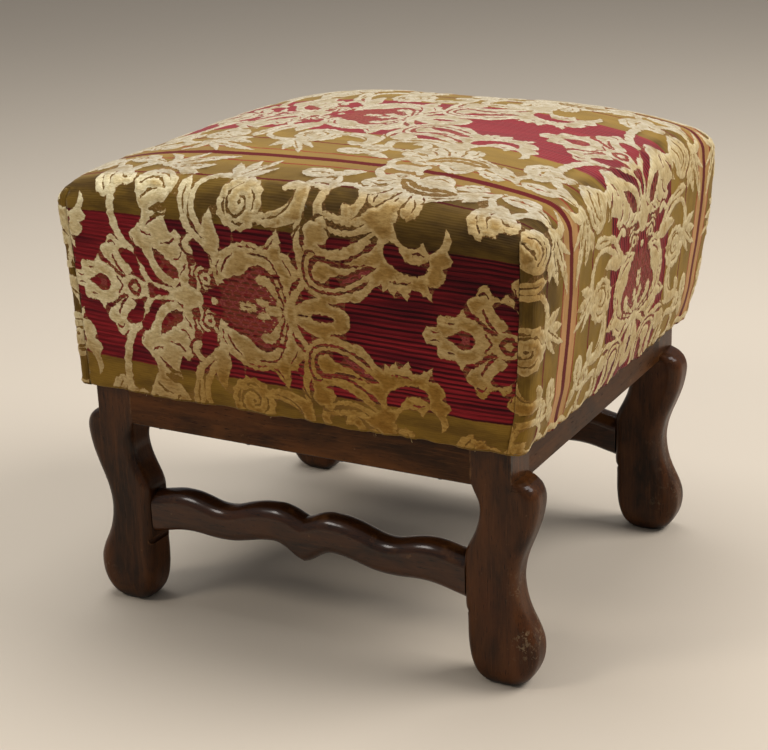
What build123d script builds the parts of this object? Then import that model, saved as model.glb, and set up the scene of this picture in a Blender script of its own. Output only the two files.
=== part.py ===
from build123d import *
import os
import math

os.makedirs("parts", exist_ok=True)

# ---------------------------------------------------------------- driving sizes (mm)
FRAME_W = 440.0          # outer faces of the frame, left to right (X)
FRAME_D = 402.0          # outer faces of the frame, front to back (Y)
HX, HY = FRAME_W / 2, FRAME_D / 2

BLOCK_W = 38.5           # square top of a leg along X
LEG_T = 38.0             # thickness of the leg plank along Y
RAIL_Z0 = 195.0          # underside of the rails
RAIL_Z1 = 273.0          # top of rails and leg blocks
RAIL_T = 24.0            # rail thickness
TENON_T = 12.0           # tenon thickness
TENON_L = 17.0           # tenon length in the leg blocks
TENON_H = 46.0           # tenon height
FIT = 0.10               # joint clearance per side
EDGE = 1.2               # eased edges of rails and blocks

# leg outline below the block: outward offset from the outer frame face, height
LEG_OUT = [(-1.4, 0.0), (6.0, 3.2), (11.0, 8.5), (14.3, 14.0), (17.4, 21.0), (19.5, 29.0),
           (20.1, 37.0), (19.3, 45.0), (17.0, 52.0), (13.8, 59.0), (9.6, 67.0), (5.7, 76.0),
           (2.8, 86.0), (1.2, 96.0), (0.8, 104.0), (1.5, 112.0), (3.8, 123.0),
           (6.8, 132.0), (10.5, 141.0), (14.0, 150.0), (17.1, 159.0), (19.6, 169.0),
           (21.0, 178.0), (21.1, 185.0), (19.7, 190.5), (17.0, RAIL_Z0)]
# inner side at the same heights
LEG_IN = [(-27.0, 0.0), (-34.0, 3.2), (-38.6, 8.5), (-41.4, 14.0), (-43.8, 21.0), (-45.6, 29.0),
          (-46.6, 37.0), (-47.1, 45.0), (-47.2, 52.0), (-47.2, 59.0), (-47.5, 67.0), (-48.8, 76.0),
          (-48.8, 86.0), (-48.8, 96.0), (-48.8, 104.0), (-48.8, 112.0), (-48.8, 123.0),
          (-46.4, 132.0), (-42.0, 141.0), (-38.0, 150.0), (-35.2, 159.0), (-33.8, 169.0),
          (-34.4, 178.0), (-36.0, 185.0), (-37.5, 190.5), (-BLOCK_W, RAIL_Z0)]
KNOB_CAP = [(17.0, RAIL_Z0), (15.2, 197.0), (12.4, 199.0), (8.0, 200.9), (2.0, 202.2)]
PAD_IN = -48.8           # flat seat on the inner side of the leg for the stretcher shoulder
R_OUT = 13.0             # rounding of the outer edges of the bone
R_IN = 9.0               # rounding of the inner edges of the bone

STR_T = 28.0             # stretcher thickness along Y
STR_R = 13.6             # rounding of its top edges
STR_Y = HY - LEG_T / 2   # stretcher centre line
STR_TEN = (14.0, 24.0, 22.0)   # stretcher tenon: thickness, height, length
STR_TEN_Z = 103.0
# stretcher outline, half: distance from the middle, underside, top
STR_PROFILE = [(0.0, 79.5, 122.6), (5.0, 81.2, 124.4), (10.0, 84.0, 126.6), (15.0, 87.4, 128.6),
               (21.0, 91.0, 130.2), (28.0, 93.6, 131.2), (36.0, 93.9, 131.0), (46.0, 92.6, 130.0),
               (57.0, 90.2, 127.6), (68.0, 87.4, 124.2), (78.0, 85.4, 121.0), (88.0, 84.5, 119.4),
               (98.0, 84.4, 120.0), (108.0, 85.0, 122.4), (119.0, 85.9, 125.2), (130.0, 86.0, 126.6),
               (141.0, 84.9, 126.4), (152.0, 82.6, 124.6), (162.0, 80.2, 122.4), (171.0, 78.0, 120.4)]

COVER_Z0 = 235.0         # lower edge of the cloth
COVER_BOT = (231.0, 211.0)     # half sizes at the lower edge
COVER_TOP = (242.5, 221.5)     # half sizes at the top edge
COVER_ZT = 432.0         # height of the top edge
CROWN_Z = 463.0          # top of the dome
DOME_R = 1240.0
COVER_T = 2.0
HEM_T, HEM_H = 2.4, 14.0
WAD_T = 6.0

WEB_W, WEB_T = 50.0, 1.2
WEB_X = (-95.0, 0.0, 95.0)     # straps that run front to back
WEB_Y = (-85.0, 0.0, 85.0)     # straps that run left to right
CANVAS_Z = 352.0
SPRING_R, WIRE_R, SPRING_TURNS = 36.0, 1.9, 6.0


def put(shape, name):
    shape.label = name
    export_step(shape, f"parts/{name}.step")


def box(x0, x1, y0, y1, z0, z1):
    return Pos((x0 + x1) / 2, (y0 + y1) / 2, (z0 + z1) / 2) * Box(x1 - x0, y1 - y0, z1 - z0)


def one(shape):
    """The single solid of a shape."""
    s = shape.solids()
    return s[0] if len(s) == 1 else max(s, key=lambda q: q.volume)


def ring(pts):
    """Closed wire of four lines and four corner arcs from corner data."""
    edges = []
    n = len(pts)
    for i in range(n):
        p, a, m, b = pts[i]
        nxt = pts[(i + 1) % n]
        edges.append(Edge.make_three_point_arc(Vector(*a), Vector(*m), Vector(*b)))
        edges.append(Edge.make_line(Vector(*b), Vector(*nxt[1])))
    return Wire(edges)


def section(u0, u1, v0, v1, radii, place):
    """Rounded rectangle in (u, v); radii for the corners (u0v0, u1v0, u1v1, u0v1)."""
    c = [(u0, v0, 1, 1), (u1, v0, -1, 1), (u1, v1, -1, -1), (u0, v1, 1, -1)]
    k = 1 - math.sqrt(0.5)
    out = []
    for i, (u, v, su, sv) in enumerate(c):
        r = radii[i]
        pu = (u + su * r, v)
        pv = (u, v + sv * r)
        pm = (u + su * r * k, v + sv * r * k)
        a, b = (pv, pu) if i % 2 == 0 else (pu, pv)
        out.append((place(u, v), place(*a), place(*pm), place(*b)))
    return ring(out)


# ---------------------------------------------------------------- legs
def make_leg():
    """Front right leg: outer faces at x = HX, y = -HY."""
    y0, y1 = -HY, -HY + LEG_T
    wires = []
    for (uo, z), (ui, _) in zip(LEG_OUT, LEG_IN):
        t = min(1.0, z / 22.0)
        inset = 9.0 * (1 - math.sqrt(max(0.0, 1 - (1 - t) ** 2)))
        half = min((uo - ui) / 2, LEG_T / 2 - inset) - 0.3
        ro = min(R_OUT, half)
        ri = min(R_IN, half)
        if z > 176:
            s = (z - 176) / (RAIL_Z0 - 176)
            ri = R_IN * (1 - s) + 1.2 * s
        wires.append(section(HX + ui, HX + uo, y0 + inset, y1 - inset, (ri, ro, ro, ri),
                             lambda u, v, z=z: (u, v, z)))
    bone = Solid.make_loft(wires, ruled=False)
    cap = Solid.make_loft([section(HX - 20.0, HX + uo, y0 + 0.4, y1 - 0.4, (2.0, R_OUT, R_OUT, 2.0),
                                   lambda u, v, z=z: (u, v, z)) for uo, z in KNOB_CAP], ruled=True)
    block = box(HX - BLOCK_W, HX, y0, y1, RAIL_Z0, RAIL_Z1)
    leg = block + bone + cap
    # flat seat for the stretcher and the small cut under it
    seat = box(HX + PAD_IN - 12, HX + PAD_IN, y0 - 1, y1 + 1, 72, 127)
    leg = leg - seat
    nick = Pos(HX - 47.6, -HY + LEG_T / 2, 69.5) * Rot(90, 0, 0) * Cylinder(3.4, LEG_T + 2)
    leg = leg - nick
    # mortises: front rail, side rail, stretcher
    zc = (RAIL_Z0 + RAIL_Z1) / 2
    leg = leg - box(HX - BLOCK_W - 1, HX - BLOCK_W + TENON_L + 0.6,
                    -HY + RAIL_T / 2 - TENON_T / 2 - FIT, -HY + RAIL_T / 2 + TENON_T / 2 + FIT,
                    zc - TENON_H / 2 - FIT, zc + TENON_H / 2 + FIT)
    leg = leg - box(HX - RAIL_T / 2 - TENON_T / 2 - FIT, HX - RAIL_T / 2 + TENON_T / 2 + FIT,
                    -HY + LEG_T - TENON_L - 0.6, -HY + LEG_T + 1,
                    zc - TENON_H / 2 - FIT, zc + TENON_H / 2 + FIT)
    t, h, l = STR_TEN
    leg = leg - box(HX + PAD_IN - 1, HX + PAD_IN + l + 0.6, -STR_Y - t / 2 - FIT, -STR_Y + t / 2 + FIT,
                    STR_TEN_Z - h / 2 - FIT, STR_TEN_Z + h / 2 + FIT)
    return one(leg)


leg_fr = make_leg()
leg_fl = mirror(leg_fr, about=Plane.YZ)
leg_br = mirror(leg_fr, about=Plane.XZ)
leg_bl = mirror(leg_fl, about=Plane.XZ)

# ---------------------------------------------------------------- stretchers
def make_stretcher():
    """Front stretcher between the flat seats of the front legs."""
    y0, y1 = -STR_Y - STR_T / 2, -STR_Y + STR_T / 2
    halves = []
    for s in (1, -1):
        wires = []
        for x, zb, zt in STR_PROFILE:
            x = min(x, HX + PAD_IN)
            wires.append(section(y0, y1, zb, zt, (9.5, 9.5, STR_R, STR_R),
                                 lambda u, v, x=x, s=s: (s * x, u, v)))
        halves.append(Solid.make_loft(wires, ruled=False))
    body = halves[0] + halves[1]
    t, h, l = STR_TEN
    for s in (1, -1):
        a, b = sorted((s * (HX + PAD_IN - 4), s * (HX + PAD_IN + l)))
        body = body + box(a, b, -STR_Y - t / 2, -STR_Y + t / 2, STR_TEN_Z - h / 2, STR_TEN_Z + h / 2)
    return one(body)


stretcher_f = make_stretcher()
stretcher_b = mirror(stretcher_f, about=Plane.XZ)

# ---------------------------------------------------------------- corner block and screw places
CB_Z0, CB_Z1 = 214.0, 240.0
CB_SCREW_Z = 227.0


def corner_poly():
    xi, yi = HX - RAIL_T, HY - RAIL_T
    bx, by = HX - BLOCK_W - 0.1, HY - LEG_T - 0.1
    return [(xi, 118.0), (xi, by), (bx, by), (bx, yi), (133.0, yi)]


def screw(x, y, z, direction, extra=0.0):
    """Countersunk wood screw; the head lies at (x, y, z), the shank runs along direction."""
    shank = Pos(0, 0, 15.0) * Cylinder(2.0 + extra, 30.0)
    head = Pos(0, 0, -1.2) * Cylinder(4.0 + extra, 2.4)
    s = one(shank + head)
    rot = {"x": Rot(0, 90, 0), "-x": Rot(0, -90, 0), "y": Rot(-90, 0, 0), "-y": Rot(90, 0, 0)}[direction]
    return Pos(x, y, z) * rot * s


def bore(x, y, z, direction):
    """Room for the screw and the hole behind its head."""
    rot = {"x": Rot(0, 90, 0), "-x": Rot(0, -90, 0), "y": Rot(-90, 0, 0), "-y": Rot(90, 0, 0)}[direction]
    hole = Pos(0, 0, 15.1) * Cylinder(2.12, 30.4)
    cb = Pos(0, 0, -14.9) * Cylinder(4.25, 30.0)
    return Pos(x, y, z) * rot * one(hole + cb)


def corner_screw_places(sx, sy):
    dx = "x" if sx > 0 else "-x"
    dy = "y" if sy > 0 else "-y"
    return [(sx * 184.0, sy * 141.0, CB_SCREW_Z - 5, dx), (sx * 158.0, sy * 165.0, CB_SCREW_Z + 5, dy)]


corner_bores = []
corner_screws = []
for sx in (1, -1):
    for sy in (1, -1):
        for p in corner_screw_places(sx, sy):
            corner_bores.append(bore(*p))
            corner_screws.append(screw(*p))


def corner_block(sx, sy):
    pts = [(sx * x, sy * y) for x, y in corner_poly()]
    face = make_face(Polyline(*pts, close=True))
    blk = Pos(0, 0, CB_Z0) * extrude(face, amount=CB_Z1 - CB_Z0, dir=(0, 0, 1))
    for p in corner_screw_places(sx, sy):
        blk = blk - bore(*p)
    return one(blk)


# ---------------------------------------------------------------- webbing
WEB_TOP = RAIL_Z0 - 0.05        # top of the upper strap layer
WEB_MID = WEB_TOP - WEB_T - 0.15
WEB_END = 9.0                   # strap end to the outer face of the rail


def strap(positions, length_half, up_first):
    """Ribbon outline along its run: pairs (s, top height)."""
    lo, hi = WEB_MID, WEB_TOP
    pts = [(-length_half, WEB_TOP)]
    first = True
    for i, p in enumerate(positions):
        z = hi if (i % 2 == 0) == up_first else lo
        if first and z == lo:
            pts.append((p - WEB_W / 2 - 34, hi))
        first = False
        pts.append((p - WEB_W / 2 - 3, z))
        pts.append((p + WEB_W / 2 + 3, z))
        if i == len(positions) - 1 and z == lo:
            pts.append((p + WEB_W / 2 + 34, hi))
    pts.append((length_half, WEB_TOP))
    return pts


def ribbon(pts):
    top = [(s, z) for s, z in pts]
    bottom = [(s, z - WEB_T) for s, z in reversed(pts)]
    return top + bottom


def tack(x, y, z, extra=0.0):
    """Upward tack with its head at height z."""
    t = Pos(0, 0, 5.0) * Cylinder(0.8 + extra, 10.0) + Pos(0, 0, -0.35) * Cylinder(2.6 + extra, 0.7)
    return Pos(x, y, z) * one(t)


web_nodes = {}
web_tacks = []
web_bores = []
for j, y in enumerate(WEB_Y):
    pts = ribbon(strap(WEB_X, HX - WEB_END, j % 2 == 0))
    face = make_face(Polyline(*[(a, 0, b) for a, b in pts], close=True))
    st = extrude(face, amount=WEB_W, dir=(0, 1, 0))
    st = Pos(0, y - WEB_W / 2, 0) * st
    for sx in (1, -1):
        for dy in (-17.0, 0.0, 17.0):
            q = (sx * (HX - 15.0), y + dy, WEB_TOP - WEB_T)
            web_tacks.append(tack(*q))
            web_bores.append(Pos(q[0], q[1], q[2] + 5.1) * Cylinder(0.92, 10.4))
    web_nodes[f"webbing_across_{j + 1}"] = st
for i, x in enumerate(WEB_X):
    pts = ribbon(strap(WEB_Y, HY - WEB_END, i % 2 == 1))
    face = make_face(Polyline(*[(0, a, b) for a, b in pts], close=True))
    st = extrude(face, amount=WEB_W, dir=(1, 0, 0))
    st = Pos(x - WEB_W / 2, 0, 0) * st
    for sy in (1, -1):
        for dx in (-17.0, 0.0, 17.0):
            q = (x + dx, sy * (HY - 15.0), WEB_TOP - WEB_T)
            web_tacks.append(tack(*q))
            web_bores.append(Pos(q[0], q[1], q[2] + 5.1) * Cylinder(0.92, 10.4))
    web_nodes[f"webbing_along_{i + 1}"] = st

# ---------------------------------------------------------------- cover tacks (under the hem) and bottom-cloth tacks
HEM_Z = 242.0
cover_tacks = []
cover_bores = []


def side_tack(x, y, z, direction):
    t = one(Pos(0, 0, 4.0) * Cylinder(0.8, 9.0) + Pos(0, 0, -0.8) * Cylinder(2.6, 0.6))
    rot = {"x": Rot(0, 90, 0), "-x": Rot(0, -90, 0), "y": Rot(-90, 0, 0), "-y": Rot(90, 0, 0)}[direction]
    return Pos(x, y, z) * rot * t


def side_bore(x, y, z, direction, r, l):
    rot = {"x": Rot(0, 90, 0), "-x": Rot(0, -90, 0), "y": Rot(-90, 0, 0), "-y": Rot(90, 0, 0)}[direction]
    return Pos(x, y, z) * rot * Pos(0, 0, l / 2 - 1) * Cylinder(r, l)


hem_pockets = []
for s in (1, -1):
    for q in (-120.0, -60.0, 0.0, 60.0, 120.0):
        px = (s * HX, q, HEM_Z, "-x" if s > 0 else "x")
        py = (q, s * HY, HEM_Z, "-y" if s > 0 else "y")
        for p in (px, py):
            cover_tacks.append(side_tack(*p))
            cover_bores.append(side_bore(*p, 0.92, 11.0))
            d = {"x": (-4, 0), "-x": (4, 0), "y": (0, -4), "-y": (0, 4)}[p[3]]
            hem_pockets.append(side_bore(p[0] + d[0], p[1] + d[1], p[2], p[3], 2.9, 6.0))

DUST_TOP = RAIL_Z0 - 0.05
DUST_T = 0.8
dust_tacks = []
dust_bores = []
for s in (1, -1):
    for q in (-150.0, -50.0, 50.0, 150.0):
        for x, y in ((s * (HX - 4.6), q * 0.92), (q, s * (HY - 4.6))):
            dust_tacks.append(tack(x, y, DUST_TOP - DUST_T))
            dust_bores.append(Pos(x, y, DUST_TOP - DUST_T + 5.1) * Cylinder(0.92, 10.6))

# ---------------------------------------------------------------- rails
zc = (RAIL_Z0 + RAIL_Z1) / 2


def rail_front():
    x1 = HX - BLOCK_W
    r = box(-x1, x1, -HY, -HY + RAIL_T, RAIL_Z0, RAIL_Z1)
    low = r.edges().filter_by(Axis.X).sort_by(Axis.Z)[:2]
    r = fillet(low, EDGE)
    for s in (1, -1):
        a, b = sorted((s * (x1 - 2), s * (x1 + TENON_L)))
        r = r + box(a, b, -HY + RAIL_T / 2 - TENON_T / 2, -HY + RAIL_T / 2 + TENON_T / 2,
                    zc - TENON_H / 2, zc + TENON_H / 2)
    return r


def rail_right():
    y1 = HY - LEG_T
    r = box(HX - RAIL_T, HX, -y1, y1, RAIL_Z0, RAIL_Z1)
    low = r.edges().filter_by(Axis.Y).sort_by(Axis.Z)[:2]
    r = fillet(low, EDGE)
    for s in (1, -1):
        a, b = sorted((s * (y1 - 2), s * (y1 + TENON_L)))
        r = r + box(HX - RAIL_T / 2 - TENON_T / 2, HX - RAIL_T / 2 + TENON_T / 2, a, b,
                    zc - TENON_H / 2, zc + TENON_H / 2)
    return r


def near(tools, x0, x1, y0, y1):
    out = []
    for t in tools:
        c = t.bounding_box().center()
        if x0 < c.X < x1 and y0 < c.Y < y1:
            out.append(t)
    return out


def bored(r, x0, x1, y0, y1):
    tools = near(corner_bores, x0 - 26, x1 + 26, y0 - 26, y1 + 26)
    tools += near(web_bores + cover_bores + dust_bores, x0 - 2, x1 + 2, y0 - 2, y1 + 2)
    for t in tools:
        r = r - t
    return one(r)


rf, rr = rail_front(), rail_right()
xi, yi = HX - RAIL_T, HY - RAIL_T
rails = {
    "rail_front": bored(rf, -HX, HX, -HY, -yi),
    "rail_back": bored(mirror(rf, about=Plane.XZ), -HX, HX, yi, HY),
    "rail_right": bored(rr, xi, HX, -HY, HY),
    "rail_left": bored(mirror(rr, about=Plane.YZ), -HX, -xi, -HY, HY),
}

# ---------------------------------------------------------------- springs
def spring(x, y):
    z0 = WEB_TOP + 0.25 + WIRE_R
    z1 = CANVAS_Z - 1.2 - 0.4 - WIRE_R
    path = Helix((z1 - z0) / SPRING_TURNS, z1 - z0, SPRING_R)
    prof = Plane(path @ 0, z_dir=path % 0) * Circle(WIRE_R)
    s = sweep(prof, path=path, is_frenet=True)
    return Pos(x, y, z0) * one(s)


spring_places = [(WEB_X[0], WEB_Y[0]), (WEB_X[2], WEB_Y[0]), (0.0, 0.0),
                 (WEB_X[0], WEB_Y[2]), (WEB_X[2], WEB_Y[2])]

# ---------------------------------------------------------------- soft seat
def frustum(hx0, hy0, z0, hx1, hy1, z1, r0, r1):
    a = section(-hx0, hx0, -hy0, hy0, (r0,) * 4, lambda u, v: (u, v, z0))
    b = section(-hx1, hx1, -hy1, hy1, (r1,) * 4, lambda u, v: (u, v, z1))
    return Solid.make_loft([a, b], ruled=True)


def seat_form(off, z0):
    """Outer form of the upholstery, drawn in by off, from height z0 up."""
    f = (COVER_TOP[0] - COVER_BOT[0]) / (COVER_ZT - COVER_Z0)
    g = (COVER_TOP[1] - COVER_BOT[1]) / (COVER_ZT - COVER_Z0)
    zt = CROWN_Z + 10
    b = frustum(COVER_BOT[0] + f * (z0 - COVER_Z0) - off, COVER_BOT[1] + g * (z0 - COVER_Z0) - off, z0,
                COVER_TOP[0] + f * (zt - COVER_ZT) - off, COVER_TOP[1] + g * (zt - COVER_ZT) - off, zt,
                max(3.0, 12 - off / 2), max(3.0, 12 - off / 2))
    ball = Pos(0, 0, CROWN_Z - DOME_R) * Sphere(DOME_R - off)
    return one(b & ball)


outer = seat_form(0.0, COVER_Z0)
shell = outer - seat_form(COVER_T, COVER_Z0 - 5)
# turned-under lip and the hem that is tacked to the rail
lip = (outer & box(-HX - 30, HX + 30, -HY - 30, HY + 30, COVER_Z0 - 1, COVER_Z0 + HEM_T)) \
    - box(-HX - 0.3, HX + 0.3, -HY - 0.3, HY + 0.3, COVER_Z0 - 2, COVER_Z0 + 15)
hem = box(-HX - 0.3 - HEM_T, HX + 0.3 + HEM_T, -HY - 0.3 - HEM_T, HY + 0.3 + HEM_T, COVER_Z0, COVER_Z0 + HEM_H) \
    - box(-HX - 0.3, HX + 0.3, -HY - 0.3, HY + 0.3, COVER_Z0 - 2, COVER_Z0 + HEM_H + 1)
hem = hem + lip
seat_cover = shell + hem
for t in hem_pockets:
    seat_cover = seat_cover - t
seat_cover = one(seat_cover)

WAD_Z0 = COVER_Z0 + HEM_T + 0.3
wadding = seat_form(COVER_T + 0.3, WAD_Z0) - seat_form(COVER_T + 0.3 + WAD_T, RAIL_Z1 + 0.3)
wadding = wadding - box(-HX - 0.3, HX + 0.3, -HY - 0.3, HY + 0.3, WAD_Z0 - 1, RAIL_Z1 + 0.3)
HEM_O = 0.3 + HEM_T + 0.3
wadding = wadding - box(-HX - HEM_O, HX + HEM_O, -HY - HEM_O, HY + HEM_O, WAD_Z0 - 1, COVER_Z0 + HEM_H + 0.3)
wadding = one(wadding)

CAN_Z0 = RAIL_Z1 + 0.2
CAN_B = (208.0, 189.0)
CAN_T = (152.0, 137.0)
canvas_out = frustum(CAN_B[0], CAN_B[1], CAN_Z0, CAN_T[0], CAN_T[1], CANVAS_Z, 12, 12)
canvas_in = frustum(CAN_B[0] - 1.6, CAN_B[1] - 1.6, CAN_Z0 - 0.01, CAN_T[0] - 1.6, CAN_T[1] - 1.6, CANVAS_Z - 1.2, 11, 11)
spring_canvas = one(canvas_out - canvas_in)

stuffing = seat_form(COVER_T + WAD_T + 0.6, RAIL_Z1 + 0.6)
can_sx = (CAN_T[0] - CAN_B[0]) / (CANVAS_Z - CAN_Z0)
can_sy = (CAN_T[1] - CAN_B[1]) / (CANVAS_Z - CAN_Z0)
stuffing = stuffing - frustum(CAN_B[0] - can_sx * 1.0 + 0.7, CAN_B[1] - can_sy * 1.0 + 0.7, CAN_Z0 - 1.0,
                              CAN_T[0] + can_sx * 0.5 + 0.7, CAN_T[1] + can_sy * 0.5 + 0.7, CANVAS_Z + 0.5, 12, 12)
stuffing = one(stuffing)

# ---------------------------------------------------------------- bottom cloth
PAN_X, PAN_Y = HX - 7.6, HY - 7.6
pan_z1 = WEB_MID - WEB_T - 1.2
pan_z0 = pan_z1 - DUST_T
dust = box(-HX + 2.0, HX - 2.0, -HY + 2.0, HY - 2.0, DUST_TOP - DUST_T, DUST_TOP) \
    + box(-PAN_X, PAN_X, -PAN_Y, PAN_Y, pan_z0, DUST_TOP - DUST_T)
dust = dust - box(-PAN_X + DUST_T, PAN_X - DUST_T, -PAN_Y + DUST_T, PAN_Y - DUST_T, pan_z1, DUST_TOP + 1)
for sx in (1, -1):
    for sy in (1, -1):
        a, b = sorted((sx * (HX - BLOCK_W - 1.5), sx * (HX + 5)))
        c, d = sorted((sy * (HY - LEG_T - 1.5), sy * (HY + 5)))
        dust = dust - box(a, b, c, d, pan_z0 - 1, DUST_TOP + 1)
for t in dust_bores:
    dust = dust - t
dust_cover = one(dust)

# ---------------------------------------------------------------- write the nodes
put(leg_fr, "leg_front_right")
put(leg_fl, "leg_front_left")
put(leg_br, "leg_back_right")
put(leg_bl, "leg_back_left")
put(stretcher_f, "stretcher_front")
put(stretcher_b, "stretcher_back")
for name, r in rails.items():
    put(r, name)
put(corner_block(1, -1), "corner_block_front_right")
put(corner_block(-1, -1), "corner_block_front_left")
put(corner_block(1, 1), "corner_block_back_right")
put(corner_block(-1, 1), "corner_block_back_left")
put(Compound(children=corner_screws), "corner_block_screws")
for name, st in web_nodes.items():
    for t in web_bores:
        c = t.bounding_box().center()
        b = st.bounding_box()
        if b.min.X < c.X < b.max.X and b.min.Y < c.Y < b.max.Y:
            st = st - t
    put(one(st), name)
put(Compound(children=web_tacks), "webbing_tacks")
for i, (x, y) in enumerate(spring_places):
    put(spring(x, y), f"coil_spring_{i + 1}")
put(spring_canvas, "spring_canvas")
put(stuffing, "stuffing_pad")
put(wadding, "wadding")
put(seat_cover, "seat_cover")
put(Compound(children=cover_tacks), "cover_tacks")
put(dust_cover, "dust_cover")
put(Compound(children=dust_tacks), "dust_cover_tacks")
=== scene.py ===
import math

import bpy
import numpy as np
from mathutils import Matrix, Vector
from mathutils.bvhtree import BVHTree
from mathutils.geometry import delaunay_2d_cdt
from mathutils.kdtree import KDTree


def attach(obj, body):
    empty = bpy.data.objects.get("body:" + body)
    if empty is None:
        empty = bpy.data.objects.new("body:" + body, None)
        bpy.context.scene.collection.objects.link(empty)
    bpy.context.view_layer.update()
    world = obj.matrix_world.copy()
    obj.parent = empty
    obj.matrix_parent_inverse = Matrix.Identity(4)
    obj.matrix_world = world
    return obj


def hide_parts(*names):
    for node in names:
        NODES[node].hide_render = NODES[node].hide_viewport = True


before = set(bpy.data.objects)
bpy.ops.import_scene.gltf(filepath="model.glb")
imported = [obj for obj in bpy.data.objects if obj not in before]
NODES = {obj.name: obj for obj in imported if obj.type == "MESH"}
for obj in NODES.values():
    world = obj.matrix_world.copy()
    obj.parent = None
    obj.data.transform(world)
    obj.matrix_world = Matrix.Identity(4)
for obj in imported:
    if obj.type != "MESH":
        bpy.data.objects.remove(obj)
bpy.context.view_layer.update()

K = 0.440 / 460.0          # metres in one unit of the cloth drawing

# ------------------------------------------------------------------ damask drawing
# The cut velvet is drawn as closed outlines on one half repeat: A runs along the
# bands, B across them from the middle of the crimson band to the middle of the stripe.
PA, PB = 400.0, 170.0


def spline(pts, step=2.4, closed=True):
    p = np.array([q[:2] for q in pts], float)
    sharp = [len(q) > 2 and q[2] for q in pts]
    n = len(p)
    out = []
    for i in range(n if closed else n - 1):
        a, b = p[i], p[(i + 1) % n]
        prev = p[i - 1] if (closed or i > 0) else a
        nxt = p[(i + 2) % n] if (closed or i + 2 < n) else b
        ta = (b - a) if sharp[i] else (b - prev) / 2
        tb = (b - a) if sharp[(i + 1) % n] else (nxt - a) / 2
        m = max(1, int(round(np.linalg.norm(b - a) / step)))
        t = (np.arange(m) / m)[:, None]
        out.append((2 * t**3 - 3 * t**2 + 1) * a + (t**3 - 2 * t**2 + t) * ta
                   + (3 * t**2 - 2 * t**3) * b + (t**3 - t**2) * tb)
    if not closed:
        out.append(p[-1:])
    return np.concatenate(out)


def stroke(pts, w, step=2.4):
    c = spline(pts, step, closed=False)
    if np.isscalar(w):
        w = [w] * len(pts)
    d = np.concatenate([[0], np.cumsum(np.linalg.norm(np.diff(c, axis=0), axis=1))])
    k = np.array([np.argmin(np.linalg.norm(c - np.array(q[:2]), axis=1)) for q in pts])
    hw = np.interp(d, d[k], np.array(w, float)) / 2
    t = np.gradient(c, axis=0)
    t /= np.linalg.norm(t, axis=1)[:, None] + 1e-9
    nrm = np.stack([-t[:, 1], t[:, 0]], 1)
    left, right = c + nrm * hw[:, None], c - nrm * hw[:, None]
    r0, r1 = hw[0], hw[-1]
    def cap(ctr, tan, nr, r, m):
        th = np.linspace(0, np.pi, m + 2)[1:-1]
        return ctr + r * (np.cos(th)[:, None] * nr + np.sin(th)[:, None] * tan)
    m1, m0 = max(1, int(np.pi * r1 / step)), max(1, int(np.pi * r0 / step))
    return np.concatenate([left, cap(c[-1], t[-1], nrm[-1], r1, m1), right[::-1],
                           cap(c[0], -t[0], -nrm[0], r0, m0)])


def ell(x, y, rx, ry, rot=0.0, scal=0, amp=0.0, step=2.2):
    n = max(6, int(2 * np.pi * np.hypot(rx, ry) / 1.414 / step))
    if scal:
        n = max(n, scal * 5)
    th = np.arange(n) / n * 2 * np.pi
    k = 1 + (amp * (np.abs(np.cos(th * scal / 2)) - 0.5) if scal else 0)
    p = np.stack([rx * np.cos(th), ry * np.sin(th)], 1) * np.reshape(k, (-1, 1))
    c, s = np.cos(np.radians(rot)), np.sin(np.radians(rot))
    return p @ np.array([[c, s], [-s, c]]) + (x, y)


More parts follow.
